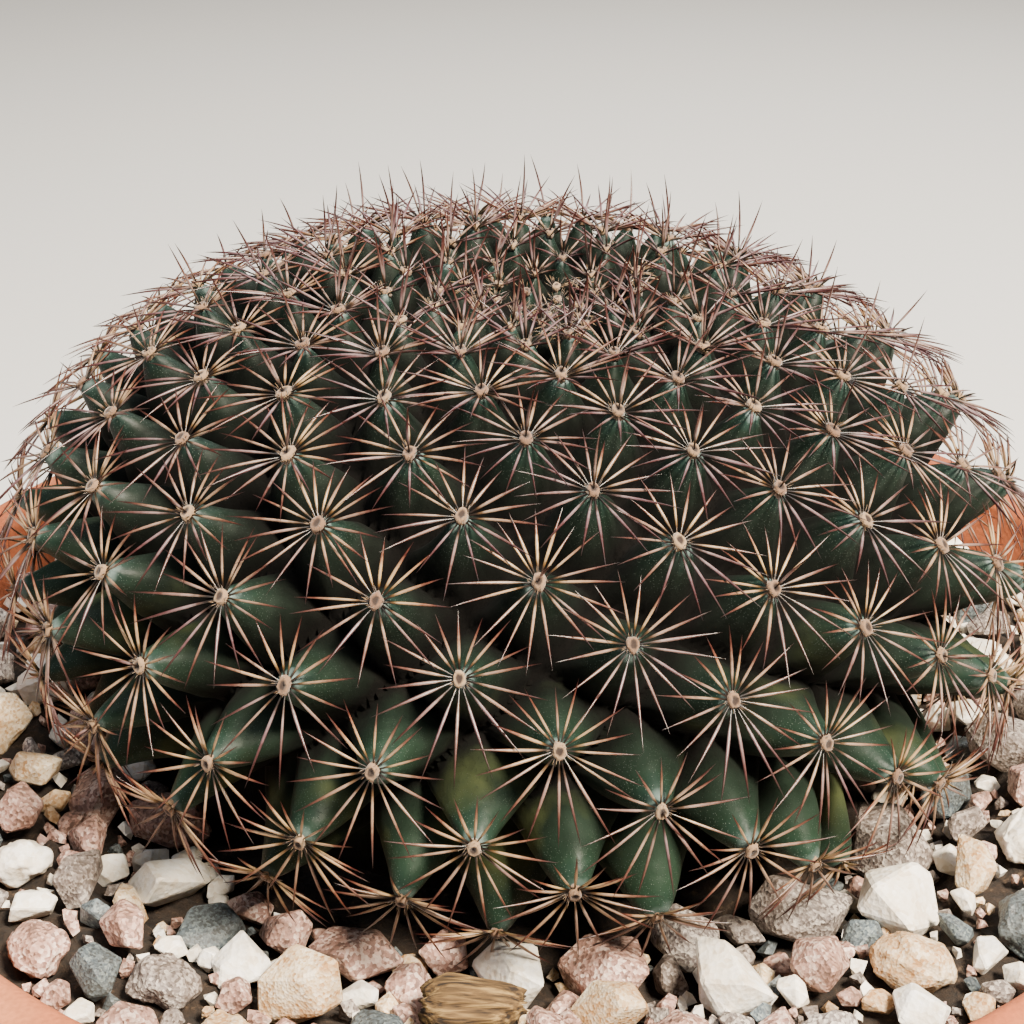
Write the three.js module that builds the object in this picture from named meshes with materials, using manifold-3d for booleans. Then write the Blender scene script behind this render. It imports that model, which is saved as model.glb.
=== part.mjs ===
// A round cactus growing in a plain terracotta pan, with soil, a bed of fine grit and loose stones on top.
// Millimetres, +Z up, origin at the middle of the pan's base. -Y is the front.
import * as THREE from 'three';
import { ConvexHull } from 'three/addons/math/ConvexHull.js';
import { mergeVertices } from 'three/addons/utils/BufferGeometryUtils.js';
import Module from 'manifold-3d';

const wasm = await Module();
wasm.setup();

// ---------------------------------------------------------------- driving dimensions
const GAP = 0.3; // clearance between pieces that touch

const POT = {
  height: 100,
  rimRadius: 80,
  rimBand: 24, // height of the thick collar
  rimWall: 6.5,
  neckRadius: 75.5, // outside radius just under the collar
  baseRadius: 56,
  wall: 6,
  floor: 8,
  drainRadius: 8,
  edgeRound: 2,
};
const ROUND_STEPS = 48; // facets round the pan

const SOIL_TOP = 84;
// The grit is dished under the stem, so that the lowest spines hang clear of it.
const BED = { top: 92, dishTop: 88, dishRadius: 51, shoulderRadius: 57 };

// The stem's tubercle tips lie on a squashed globe, fuller above its widest ring than below it.
const STEM = {
  radius: 56, // at the tubercle tips of the widest ring
  upperHeight: 0.59, // of the radius
  lowerHeight: 0.65,
  upperPower: 0.9,
  lowerPower: 1.1,
  widestZ: 113, // height of the widest ring above the base
  lean: 3.1, // degrees, towards +X
  crownDip: 4.5, // the growing point sits in a dimple
  crownDipRadius: 14,
};

// Tubercles stand in opposite pairs. Each pair turns on from the last by one divergence angle, which
// gives 16 spiral rows one way and 26 the other. A pair's polar angle grows with its age. Eight pairs on,
// a tubercle has turned half round and a little more, so a row takes its tubercles from both sides in turn.
const PAIRS = {
  first: 3,
  last: 120,
  divergence: 68.69, // degrees
  firstAzimuth: 104.2, // degrees, from the front (-Y) towards +X
  angleRate: 0.0116, // radians of polar angle per pair
  angleGrowth: 4.83e-5,
};
const SPIRAL_STEP = 8; // pairs from one tubercle to the next in its spiral row
const SIDES = [0, 1]; // half turns

const TUBERCLE = {
  depth: 0.8, // of the distance to the nearest neighbour
  tipWidth: 0.34, // of the same distance
  tipSides: 4,
};

const SPINES = {
  firstPair: 12, // younger areoles are hidden in the crown's wool
  between: 2, // spines on each side of the two that reach along the row
  linkReach: 0.6, // of the distance to the next areole in the row
  sideReach: 0.44, // of the distance to the nearest areole of another row
  ascent: 12, // degrees above the areole's own plane
  lift: 0.8, // the cluster's middle above the tubercle's tip
  top: 0.5,
  bottom: 0.4,
  collar: 0.75, // radius where neighbouring spines part
};

const CROWN_WOOL = { radius: 3.2, height: 2.2, sides: 10 };

// The stem narrows under its lowest tubercles to a woody neck and a blunt taproot: [radius, height] pairs,
// in shares of STEM.radius.
const NECK = [
  [0.7, -0.345],
  [0.58, -0.41],
  [0.4, -0.6],
  [0.22, -0.84],
  [0.08, -0.95],
];
const NECK_SIDES = 20;

const STONES = {
  count: 30,
  ringRadius: 63.7,
  stagger: 2.2, // odd and even stones stand this far in and out of the ring
  minRadius: 4.1,
  maxRadius: 5.9,
  corners: 15,
  sunk: 0.3, // share of a stone's height pressed into the bed
};
const BARK = { length: 9, width: 5, height: 4.2, azimuth: -4.5, radius: 55.6, turn: 5 };

const COLOURS = {
  pot: 0xb5653f,
  soil: 0x2b221b,
  grit: 0x8d8478,
  stem: 0x1f3a2c,
  wool: 0xd9d0c0,
  spine: 0xc7a084,
  bark: 0x8a7650,
  marble: 0xe9e3d3,
  pinkGranite: 0xb79c92,
  greyGranite: 0x8f8783,
  limestone: 0xd9c7ae,
  slate: 0x5d6468,
};
const STONE_KINDS = ['marble', 'pinkGranite', 'greyGranite', 'limestone', 'slate'];

// ---------------------------------------------------------------- small helpers
const radians = THREE.MathUtils.degToRad;

// A repeatable run of numbers from 0 to 1.
function seeded(seed) {
  let state = seed;
  return () => {
    state = (state * 1664525 + 1013904223) % 4294967296;
    return state / 4294967296;
  };
}

// A closed geometry as a manifold-3d solid.
function toSolid(geometry) {
  const bare = geometry.clone();
  bare.deleteAttribute('normal');
  bare.deleteAttribute('uv');
  const merged = mergeVertices(bare, 1e-3);
  const mesh = new wasm.Mesh({
    numProp: 3,
    vertProperties: Float32Array.from(merged.attributes.position.array),
    triVerts: Uint32Array.from(merged.index.array),
  });
  return new wasm.Manifold(mesh);
}

// A manifold-3d solid as a geometry.
function toGeometry(solid) {
  const mesh = solid.getMesh();
  const geometry = new THREE.BufferGeometry();
  geometry.setAttribute('position', new THREE.BufferAttribute(mesh.vertProperties, 3));
  geometry.setIndex(new THREE.BufferAttribute(mesh.triVerts, 1));
  return geometry;
}

// The convex solid round some points.
function hullGeometry(points) {
  const corners = [];
  for (const face of new ConvexHull().setFromPoints(points).faces) {
    const loop = [];
    let edge = face.edge;
    do {
      loop.push(edge.head().point);
      edge = edge.next;
    } while (edge !== face.edge);
    for (let i = 1; i < loop.length - 1; i += 1) corners.push(loop[0], loop[i], loop[i + 1]);
  }
  return new THREE.BufferGeometry().setFromPoints(corners);
}

// A solid of revolution about Z from an outline in (radius, height).
function turned(outline, sides) {
  return new THREE.LatheGeometry(outline, sides).rotateX(Math.PI / 2);
}

function piece(name, geometry, colour, roughness = 0.85) {
  const material = new THREE.MeshStandardMaterial({ color: colour, roughness, metalness: 0 });
  const mesh = new THREE.Mesh(geometry, material);
  mesh.name = name;
  return mesh;
}

// ---------------------------------------------------------------- the pan and what fills it
// Inside radius of the pan at a height above its floor.
function insideRadius(z) {
  const base = POT.baseRadius - POT.wall;
  const top = POT.rimRadius - POT.rimWall;
  return THREE.MathUtils.mapLinear(z, POT.floor, POT.height, base, top);
}

function potGeometry() {
  const { height, rimRadius, rimBand, neckRadius, baseRadius, floor, drainRadius } = POT;
  const e = POT.edgeRound;
  const outline = new THREE.Path();
  outline.moveTo(drainRadius, 0);
  outline.lineTo(baseRadius - e, 0);
  outline.lineTo(baseRadius, e);
  outline.lineTo(neckRadius, height - rimBand - e);
  outline.lineTo(rimRadius - e, height - rimBand);
  outline.lineTo(rimRadius, height - rimBand + e);
  outline.lineTo(rimRadius, height - e);
  outline.absarc(rimRadius - e, height - e, e, 0, Math.PI / 2, false);
  outline.lineTo(insideRadius(height) + 1, height);
  outline.lineTo(insideRadius(height), height - 1);
  outline.lineTo(insideRadius(floor), floor);
  outline.lineTo(drainRadius, floor);
  outline.lineTo(drainRadius, 0);
  return turned(outline.getPoints(1), ROUND_STEPS);
}

// Fillings of the pan stand clear of its wall.
function soilGeometry() {
  const low = POT.floor + GAP;
  const outline = [
    new THREE.Vector2(0, low),
    new THREE.Vector2(insideRadius(low) - GAP, low),
    new THREE.Vector2(insideRadius(SOIL_TOP) - GAP, SOIL_TOP),
    new THREE.Vector2(0, SOIL_TOP),
  ];
  return turned(outline, ROUND_STEPS);
}

function bedGeometry() {
  const low = SOIL_TOP + GAP;
  const outline = [
    new THREE.Vector2(0, low),
    new THREE.Vector2(insideRadius(low) - GAP, low),
    new THREE.Vector2(insideRadius(BED.top) - GAP, BED.top),
    new THREE.Vector2(BED.shoulderRadius, BED.top),
    new THREE.Vector2(BED.dishRadius, BED.dishTop),
    new THREE.Vector2(0, BED.dishTop),
  ];
  return turned(outline, ROUND_STEPS);
}

// ---------------------------------------------------------------- the stem's spiral lattice
// A point on the squashed globe that carries the tubercle tips, in the stem's own frame.
function globePoint(polar, azimuth) {
  const upper = polar < Math.PI / 2;
  const power = upper ? STEM.upperPower : STEM.lowerPower;
  const height = (upper ? STEM.upperHeight : STEM.lowerHeight) * STEM.radius;
  const r = STEM.radius * Math.sin(polar) ** power;
  const c = Math.cos(polar);
  const dip = STEM.crownDip * Math.exp(-((r / STEM.crownDipRadius) ** 2));
  const z = height * Math.sign(c) * Math.abs(c) ** power - (upper ? dip : 0);
  return new THREE.Vector3(r * Math.sin(azimuth), -r * Math.cos(azimuth), z);
}

function globeNormal(polar, azimuth) {
  const step = 1e-3;
  const along = globePoint(polar + step, azimuth).sub(globePoint(polar - step, azimuth));
  const around = new THREE.Vector3(Math.cos(azimuth), Math.sin(azimuth), 0);
  return along.cross(around).normalize();
}

function polarAngle(pair) {
  return PAIRS.angleRate * pair + PAIRS.angleGrowth * pair * pair;
}

function makeAreole(pair, side) {
  const azimuth = radians(PAIRS.firstAzimuth + PAIRS.divergence * pair + 180 * side);
  const polar = polarAngle(pair);
  return { pair, side, point: globePoint(polar, azimuth), normal: globeNormal(polar, azimuth) };
}

const areoles = [];
for (let pair = PAIRS.first; pair <= PAIRS.last; pair += 1) {
  for (const side of SIDES) areoles.push(makeAreole(pair, side));
}

// The number of an areole's spiral row, from 0 to 15.
function rowOf({ pair, side }) {
  const halfTurns = Math.floor(pair / SPIRAL_STEP) + side;
  return (pair % SPIRAL_STEP) + SPIRAL_STEP * (halfTurns % 2);
}

function nearest(areole, accept) {
  let best = Infinity;
  for (const other of areoles) {
    if (other !== areole && accept(other)) best = Math.min(best, other.point.distanceTo(areole.point));
  }
  return best;
}

for (const areole of areoles) areole.spacing = nearest(areole, () => true);

// Two unit vectors across an areole's normal: down the stem, and round it.
function acrossNormal(normal) {
  const round = new THREE.Vector3(0, 0, 1).cross(normal).normalize();
  const down = normal.clone().cross(round).negate();
  return { down, round };
}

// ---------------------------------------------------------------- the stem
// The triangles that join some points on a star-shaped body, as triples of their numbers.
function joinAround(points) {
  const onSphere = points.map((point) => point.clone().normalize());
  const numberOf = new Map(onSphere.map((point, i) => [point, i]));
  const triangles = [];
  for (const face of new ConvexHull().setFromPoints(onSphere).faces) {
    const edge = face.edge;
    const corners = [edge.head(), edge.next.head(), edge.next.next.head()];
    triangles.push(corners.map((corner) => numberOf.get(corner.point)));
  }
  return triangles;
}

function neckPoints() {
  const points = [];
  for (const [r, z] of NECK) {
    for (let i = 0; i < NECK_SIDES; i += 1) {
      const turn = (2 * Math.PI * i) / NECK_SIDES;
      points.push(new THREE.Vector3(r * Math.cos(turn), r * Math.sin(turn), z).multiplyScalar(STEM.radius));
    }
  }
  return points;
}

// Flat-topped tubercles on a core: corners round each tip, and one low point between each three tips.
function stemGeometry() {
  const tips = areoles.map((areole) => areole.point);
  const neck = neckPoints();
  const points = [...neck];
  for (const { point, normal, spacing } of areoles) {
    const { down, round } = acrossNormal(normal);
    for (let i = 0; i < TUBERCLE.tipSides; i += 1) {
      const turn = (2 * Math.PI * (i + 0.5)) / TUBERCLE.tipSides;
      const reach = (TUBERCLE.tipWidth * spacing) / 2;
      const corner = point.clone().addScaledVector(down, reach * Math.cos(turn));
      points.push(corner.addScaledVector(round, reach * Math.sin(turn)));
    }
  }
  for (const triple of joinAround([...tips, ...neck])) {
    if (triple.some((i) => i >= tips.length)) continue;
    const [a, b, c] = triple.map((i) => areoles[i]);
    const low = a.point.clone().add(b.point).add(c.point).divideScalar(3);
    const normal = a.normal.clone().add(b.normal).add(c.normal).normalize();
    const spacing = (a.spacing + b.spacing + c.spacing) / 3;
    points.push(low.addScaledVector(normal, -TUBERCLE.depth * spacing));
  }
  const corners = joinAround(points).flatMap((triple) => triple.map((i) => points[i]));
  return new THREE.BufferGeometry().setFromPoints(corners);
}

// The space that the neck and taproot take up in the bed and the soil, in the stem's own frame.
function socketGeometry() {
  const grown = NECK.map(([r, z]) => new THREE.Vector2(r * STEM.radius + 2 * GAP, z * STEM.radius));
  const [rim] = grown;
  const foot = grown[grown.length - 1].y - 2 * GAP;
  const outline = [new THREE.Vector2(0, foot), new THREE.Vector2(grown[grown.length - 1].x, foot)];
  outline.push(...grown.reverse(), new THREE.Vector2(rim.x, 0), new THREE.Vector2(0, 0));
  return turned(outline, NECK_SIDES * 2);
}

// ---------------------------------------------------------------- the spines
// One areole's cluster: a closed star whose spines reach from a small middle to sharp tips.
function clusterGeometry(middle, normal, tips) {
  const { top, bottom, collar } = SPINES;
  const apex = middle.clone().addScaledVector(normal, top);
  const foot = middle.clone().addScaledVector(normal, -bottom);
  const valleys = tips.map((tip, i) => {
    const next = tips[(i + 1) % tips.length];
    const way = tip.clone().sub(middle).normalize().add(next.clone().sub(middle).normalize());
    return middle.clone().addScaledVector(way.projectOnPlane(normal).normalize(), collar);
  });
  const corners = tips.flatMap((tip, i) => {
    const before = valleys[(i + tips.length - 1) % tips.length];
    const after = valleys[i];
    return [apex, before, tip, apex, tip, after, foot, tip, before, foot, after, tip];
  });
  return new THREE.BufferGeometry().setFromPoints(corners);
}

// The tips of a cluster, in order round its normal. Two of them reach along the row into the next clusters.
function clusterTips(areole, middle, links) {
  const { down, round } = acrossNormal(areole.normal);
  const sideways = nearest(areole, (other) => rowOf(other) !== rowOf(areole));
  const angleOf = (way) => Math.atan2(way.dot(round), way.dot(down));
  const ahead = links.next.clone().sub(middle);
  const behind = links.previous.clone().sub(middle);
  const start = angleOf(ahead);
  const half = THREE.MathUtils.euclideanModulo(angleOf(behind) - start, 2 * Math.PI);
  const sideTip = (angle) => {
    const way = down.clone().multiplyScalar(Math.cos(angle)).addScaledVector(round, Math.sin(angle));
    const reach = SPINES.sideReach * sideways;
    const rise = radians(SPINES.ascent);
    const tip = middle.clone().addScaledVector(way, reach * Math.cos(rise));
    return tip.addScaledVector(areole.normal, reach * Math.sin(rise));
  };
  const tips = [middle.clone().addScaledVector(ahead, SPINES.linkReach)];
  const parts = SPINES.between + 1;
  for (let i = 1; i < parts; i += 1) tips.push(sideTip(start + (half * i) / parts));
  tips.push(middle.clone().addScaledVector(behind, SPINES.linkReach));
  for (let i = 1; i < parts; i += 1) tips.push(sideTip(start + half + ((2 * Math.PI - half) * i) / parts));
  return tips;
}

function clusterMiddle(areole) {
  return areole.point.clone().addScaledVector(areole.normal, SPINES.lift);
}

// All the clusters of one spiral row, each hooked into the next.
function spineRowGeometry(row) {
  const members = areoles.filter((areole) => rowOf(areole) === row && areole.pair >= SPINES.firstPair);
  const middles = members.map(clusterMiddle);
  const clusters = members.map((areole, i) => {
    const mirrored = (other) => middles[i].clone().multiplyScalar(2).sub(other);
    const next = middles[i + 1] ?? mirrored(middles[i - 1]).lerp(middles[i], 0.3);
    const previous = middles[i - 1] ?? mirrored(middles[i + 1]).lerp(middles[i], 0.3);
    const tips = clusterTips(areole, middles[i], { next, previous });
    return toSolid(clusterGeometry(middles[i], areole.normal, tips));
  });
  return toGeometry(clusters.reduce((joined, cluster) => joined.add(cluster)));
}

function crownWoolGeometry() {
  const { radius, height, sides } = CROWN_WOOL;
  const outline = [
    new THREE.Vector2(0, 0),
    new THREE.Vector2(radius, 0),
    new THREE.Vector2(radius * 0.8, height * 0.6),
    new THREE.Vector2(0, height),
  ];
  return turned(outline, sides);
}

// ---------------------------------------------------------------- the stones
// An angular stone: the convex solid round points scattered over an ellipsoid.
function stoneGeometry(random, size) {
  const golden = Math.PI * (3 - Math.sqrt(5));
  const points = [];
  for (let i = 0; i < STONES.corners; i += 1) {
    const z = 1 - (2 * (i + 0.5)) / STONES.corners;
    const turn = golden * i + 0.9 * random();
    const r = Math.sqrt(1 - z * z);
    const point = new THREE.Vector3(r * Math.cos(turn), r * Math.sin(turn), z);
    points.push(point.multiply(size).multiplyScalar(0.86 + 0.14 * random()));
  }
  return hullGeometry(points);
}

function makeStone(number) {
  const random = seeded(7919 * (number + 1));
  const long = THREE.MathUtils.lerp(STONES.minRadius, STONES.maxRadius, random());
  const size = new THREE.Vector3(long, long * (0.72 + 0.2 * random()), long * (0.62 + 0.2 * random()));
  const name = `stone_${String(number + 1).padStart(2, '0')}`;
  const colour = COLOURS[STONE_KINDS[number % STONE_KINDS.length]];
  const stone = piece(name, stoneGeometry(random, size), colour);
  const turn = (2 * Math.PI * (number + 0.25 * random())) / STONES.count;
  const ring = STONES.ringRadius + (number % 2 ? -STONES.stagger : STONES.stagger);
  const rise = size.z * (1 - 2 * STONES.sunk);
  stone.position.set(ring * Math.sin(turn), -ring * Math.cos(turn), BED.top + rise);
  stone.rotation.set(0.3 * (random() - 0.5), 0.3 * (random() - 0.5), 2 * Math.PI * random());
  return stone;
}

// A weathered chip of bark among the stones: a lopsided wedge.
function makeBark() {
  const { length: l, width: w, height: h } = BARK;
  const outline = new THREE.Shape();
  outline.moveTo(-l / 2, 0);
  outline.lineTo(l / 2, 0);
  outline.lineTo(l * 0.42, h * 0.55);
  outline.lineTo(-l * 0.1, h);
  outline.lineTo(-l * 0.46, h * 0.8);
  const geometry = new THREE.ExtrudeGeometry(outline, { depth: w, bevelEnabled: false });
  geometry.translate(0, 0, -w / 2).rotateX(Math.PI / 2);
  const bark = piece('bark_chip', geometry, COLOURS.bark, 0.95);
  const azimuth = radians(BARK.azimuth);
  bark.position.set(BARK.radius * Math.sin(azimuth), -BARK.radius * Math.cos(azimuth), BED.top + GAP);
  bark.rotation.z = radians(BARK.turn);
  return bark;
}

// The stone's shape in the pan's frame, a little larger all round.
function grownStone(stone) {
  stone.updateMatrix();
  const grown = stone.geometry.clone();
  const growth = 1 + (1.5 * GAP) / (STONES.minRadius * 0.62);
  return toSolid(grown.scale(growth, growth, growth).applyMatrix4(stone.matrix));
}

// ---------------------------------------------------------------- assembly
const cactusInPot = new THREE.Group();
cactusInPot.add(piece('pot', potGeometry(), COLOURS.pot));

const plant = new THREE.Group();
plant.position.z = STEM.widestZ;
plant.rotation.y = radians(STEM.lean);
plant.updateMatrix();
plant.add(piece('stem', stemGeometry(), COLOURS.stem, 0.55));
for (let row = 0; row < 2 * SPIRAL_STEP; row += 1) {
  const name = `spine_row_${String(row + 1).padStart(2, '0')}`;
  plant.add(piece(name, spineRowGeometry(row), COLOURS.spine, 0.5));
}
const crownWool = piece('crown_wool', crownWoolGeometry(), COLOURS.wool, 0.95);
crownWool.position.z = STEM.upperHeight * STEM.radius - STEM.crownDip + 2 * GAP;
plant.add(crownWool);

const socket = toSolid(socketGeometry().applyMatrix4(plant.matrix));
const soil = toSolid(soilGeometry()).subtract(socket);
cactusInPot.add(piece('soil', toGeometry(soil), COLOURS.soil, 0.95));

const stones = Array.from({ length: STONES.count }, (_, number) => makeStone(number));
let bed = toSolid(bedGeometry()).subtract(socket);
for (const stone of stones) bed = bed.subtract(grownStone(stone));
cactusInPot.add(piece('grit_bed', toGeometry(bed), COLOURS.grit, 0.95));
cactusInPot.add(...stones, makeBark(), plant);

export default cactusInPot;
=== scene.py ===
"""A squat round cactus in a terracotta pan, with its spines, gravel dressing and studio.

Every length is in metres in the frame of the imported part: origin under the middle of the pan, +Z up and
-Y the front.
Sizes that a grower would give in millimetres are written as a number times MM.
"""

import logging
import math
import random
from dataclasses import dataclass, field
from enum import Enum
from typing import Any

import bmesh
import bpy
import numpy as np
from mathutils import Euler, Matrix, Vector


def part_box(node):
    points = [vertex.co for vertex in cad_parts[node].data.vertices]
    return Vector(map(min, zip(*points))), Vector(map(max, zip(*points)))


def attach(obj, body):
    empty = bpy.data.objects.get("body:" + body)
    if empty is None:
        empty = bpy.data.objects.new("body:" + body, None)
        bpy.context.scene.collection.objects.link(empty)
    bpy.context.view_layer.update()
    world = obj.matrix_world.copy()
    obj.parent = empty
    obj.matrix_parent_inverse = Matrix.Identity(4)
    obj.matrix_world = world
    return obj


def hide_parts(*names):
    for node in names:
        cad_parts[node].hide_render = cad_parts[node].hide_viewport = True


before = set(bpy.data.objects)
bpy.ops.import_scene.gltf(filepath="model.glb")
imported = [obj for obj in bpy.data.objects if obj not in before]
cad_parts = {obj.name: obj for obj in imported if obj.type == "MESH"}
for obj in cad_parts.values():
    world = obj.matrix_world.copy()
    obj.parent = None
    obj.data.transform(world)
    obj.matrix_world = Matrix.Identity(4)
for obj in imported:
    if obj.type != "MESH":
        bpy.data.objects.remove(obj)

LOG = logging.getLogger("cactus")
MM = 0.001
ROOT = "root"
Sockets = dict[str | int, object]


# --------------------------------------------------------------------------- shared tools
def linear(code: str) -> tuple[float, float, float, float]:
    """Turns an sRGB hex colour into the linear values that Blender's sockets take.

    Args:
        code: Six hex digits after a hash sign.

    Returns:
        Linear red, green and blue, and an alpha of 1.
    """
    parts = [int(code[i : i + 2], 16) / 255 for i in (1, 3, 5)]
    return (*[c / 12.92 if c <= 0.04045 else ((c + 0.055) / 1.055) ** 2.4 for c in parts], 1.0)


def add_node(tree: bpy.types.NodeTree, kind: str, inputs: Sockets | None = None,
             **settings: Any) -> bpy.types.Node:
    """Adds a node to a tree, sets its options and fills or links its sockets.

    Args:
        tree: The shader or geometry tree.
        kind: The node's type name.
        inputs: Socket name or number to a value, a node or an output socket.
        **settings: Options of the node. "stops" fills a colour ramp, and "bends" a float curve.

    Returns:
        The new node.
    """
    node = tree.nodes.new(kind)
    stops = settings.pop("stops", None)
    if stops:
        elements = node.color_ramp.elements
        for element, (position, colour) in zip(elements, (stops[0], stops[-1])):
            element.position = position
            element.color = linear(colour)
        for position, colour in stops[1:-1]:
            elements.new(position).color = linear(colour)
    bends = settings.pop("bends", None)
    if bends:
        points = node.mapping.curves[0].points
        for point, place in zip(points, (bends[0], bends[-1])):
            point.location = place
        for place in bends[1:-1]:
            points.new(*place)
        node.mapping.update()
    for name, value in settings.items():
        setattr(node, name, value)
    for socket, value in (inputs or {}).items():
        if isinstance(value, bpy.types.Node):
            value = value.outputs[0]
        if isinstance(value, bpy.types.NodeSocket):
            tree.links.new(value, node.inputs[socket])
        else:
            node.inputs[socket].default_value = value
    return node


def new_material(name: str) -> tuple[bpy.types.Material, bpy.types.NodeTree]:
    """Makes a material with an empty node tree.

    Args:
        name: The material's name.

    Returns:
        The material and its tree.
    """
    material = bpy.data.materials.new(name)
    material.use_nodes = True
    material.node_tree.nodes.clear()
    return material, material.node_tree


def mesh_object(name: str, verts: np.ndarray, faces: list, fields: dict[str, np.ndarray] | None = None,
                smooth: bool = True) -> bpy.types.Object:
    """Makes a mesh object at the origin, with number fields on its points.

    Args:
        name: The object's name.
        verts: Points, one row each.
        faces: Lists of point numbers, anticlockwise from outside.
        fields: Name to one number, or one vector, for each point.
        smooth: Whether the faces are shaded smooth.

    Returns:
        The object, linked to the scene.
    """
    mesh = bpy.data.meshes.new(name)
    mesh.from_pydata(np.asarray(verts, float).tolist(), [], faces)
    for key, values in (fields or {}).items():
        values = np.asarray(values)
        kind, slot = ("FLOAT_VECTOR", "vector") if values.ndim == 2 else ("FLOAT", "value")
        if values.dtype.kind == "i":
            kind = "INT"
        mesh.attributes.new(key, kind, "POINT").data.foreach_set(slot, values.ravel())
    if smooth and faces:
        mesh.shade_smooth()
    mesh.update()
    obj = bpy.data.objects.new(name, mesh)
    bpy.context.scene.collection.objects.link(obj)
    return obj


def ring_faces(rows: int, columns: int) -> list[tuple[int, ...]]:
    """Faces between rings of points that run round an axis, from the first ring to the last.

    Args:
        rows: Number of rings.
        columns: Points in each ring.

    Returns:
        Four-sided faces.
    """
    faces = []
    for row in range(rows - 1):
        for column in range(columns):
            right = (column + 1) % columns
            low, high = row * columns, (row + 1) * columns
            faces.append((low + column, high + column, high + right, low + right))
    return faces


def ripple(points: np.ndarray, size: float, seed: int, waves: int = 7) -> np.ndarray:
    """Smooth repeatable noise from a few crossing waves.

    Args:
        points: Places, one row each.
        size: Length of a typical wave.
        seed: Picks the waves.
        waves: How many are added.

    Returns:
        One value from about -1 to 1 for each place.
    """
    rng = np.random.default_rng(seed)
    ways = rng.normal(size=(waves, 3))
    ways /= np.linalg.norm(ways, axis=1)[:, None]
    rates = 2 * np.pi / (size * rng.uniform(0.6, 1.7, waves))
    phases = points @ (ways * rates[:, None]).T + rng.uniform(0, 6.28, waves)
    return np.sin(phases).sum(1) / math.sqrt(2 * waves)


def settle(obj: bpy.types.Object) -> bpy.types.Object:
    """Turns an object's modifiers into a plain mesh.

    Args:
        obj: The object.

    Returns:
        The same object with its modifiers applied and removed.
    """
    bpy.context.view_layer.update()
    graph = bpy.context.evaluated_depsgraph_get()
    mesh = bpy.data.meshes.new_from_object(obj.evaluated_get(graph), preserve_all_data_layers=True,
                                           depsgraph=graph)
    obj.modifiers.clear()
    old = obj.data
    obj.data = mesh
    mesh.name = old.name
    bpy.data.meshes.remove(old)
    return obj


def dress(obj: bpy.types.Object, material: bpy.types.Material | None, slot: str,
          *replaced: str) -> bpy.types.Object:
    """Gives a finished piece its material and body, and hides the CAD nodes that it stands for.

    Args:
        obj: The piece, with its modifiers settled.
        material: Its finish, or None where its mesh has one already.
        slot: The record's material slot; not used.
        *replaced: CAD nodes that the piece stands for.

    Returns:
        The piece.
    """
    if material is not None:
        obj.data.materials.clear()
        obj.data.materials.append(material)
    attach(obj, ROOT)
    if replaced:
        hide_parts(*replaced)
    LOG.info("%s: %d faces", obj.name, len(obj.data.polygons))
    return obj


# --------------------------------------------------------------------------- finishes
@dataclass(frozen=True)
class Terracotta:
    """Unglazed red clay, thrown and fired at low heat: matt, sandy, paler where lime has dried on it."""

    clay: str = "#a2552f"
    pale: str = "#ba7850"
    burnt: str = "#83411f"
    lime: str = "#c6ae96"
    grit: float = 0.55 * MM  # sand grains in the clay, drawn a little coarse so that they show
    cloud: float = 38 * MM  # firing clouds
    roughness: float = 0.88

    def material(self) -> bpy.types.Material:
        """Builds the node material.

        Returns:
            The material.
        """
        material, tree = new_material("terracotta_unglazed")
        place = add_node(tree, "ShaderNodeTexCoord").outputs["Object"]
        cloud = add_node(tree, "ShaderNodeTexNoise",
                         {"Vector": place, "Scale": 1 / self.cloud, "Detail": 6.0})
        tone = add_node(tree, "ShaderNodeValToRGB", {0: cloud.outputs["Fac"]},
                        stops=[(0.3, self.burnt), (0.5, self.clay), (0.72, self.pale)])
        grains = add_node(tree, "ShaderNodeTexNoise",
                          {"Vector": place, "Scale": 1 / self.grit, "Detail": 3.0})
        specks = add_node(tree, "ShaderNodeMapRange",
                          {0: grains.outputs["Fac"], 1: 0.35, 2: 0.7, 3: 0.86, 4: 1.12})
        sandy = add_node(tree, "ShaderNodeVectorMath", {0: tone, 1: specks}, operation="MULTIPLY")
        height = add_node(tree, "ShaderNodeSeparateXYZ", {0: place}).outputs["Z"]
        damp = add_node(tree, "ShaderNodeTexNoise", {"Vector": place, "Scale": 1 / (14 * MM), "Detail": 8.0,
                                                     "Roughness": 0.7})
        tide = add_node(tree, "ShaderNodeMath",
                        {0: damp.outputs["Fac"], 1: 0.07, 2: -0.035}, operation="MULTIPLY_ADD")
        line = add_node(tree, "ShaderNodeMath", {0: height, 1: tide}, operation="ADD")
        bloom = add_node(tree, "ShaderNodeValToRGB",
                         {0: add_node(tree, "ShaderNodeMapRange", {0: line, 1: 0.0, 2: 0.1})},
                         stops=[(0.0, "#5a5a5a"), (0.16, "#3a3a3a"), (0.3, "#101010"), (0.62, "#1c1c1c"),
                                (0.74, "#8c8c8c"), (0.8, "#404040"), (1.0, "#262626")])
        patch = add_node(tree, "ShaderNodeMath", {0: bloom, 1: damp.outputs["Fac"]}, operation="MULTIPLY")
        coat = add_node(tree, "ShaderNodeMix",
                        {0: patch, 6: sandy.outputs[0], 7: linear(self.lime)}, data_type="RGBA")
        bump = add_node(tree, "ShaderNodeBump",
                        {"Height": grains.outputs["Fac"], "Distance": 0.12 * MM, "Strength": 0.8})
        shader = add_node(tree, "ShaderNodeBsdfPrincipled",
                          {"Base Color": coat.outputs[2], "Roughness": self.roughness,
                           "Normal": bump})
        add_node(tree, "ShaderNodeOutputMaterial", {"Surface": shader})
        return material


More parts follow.
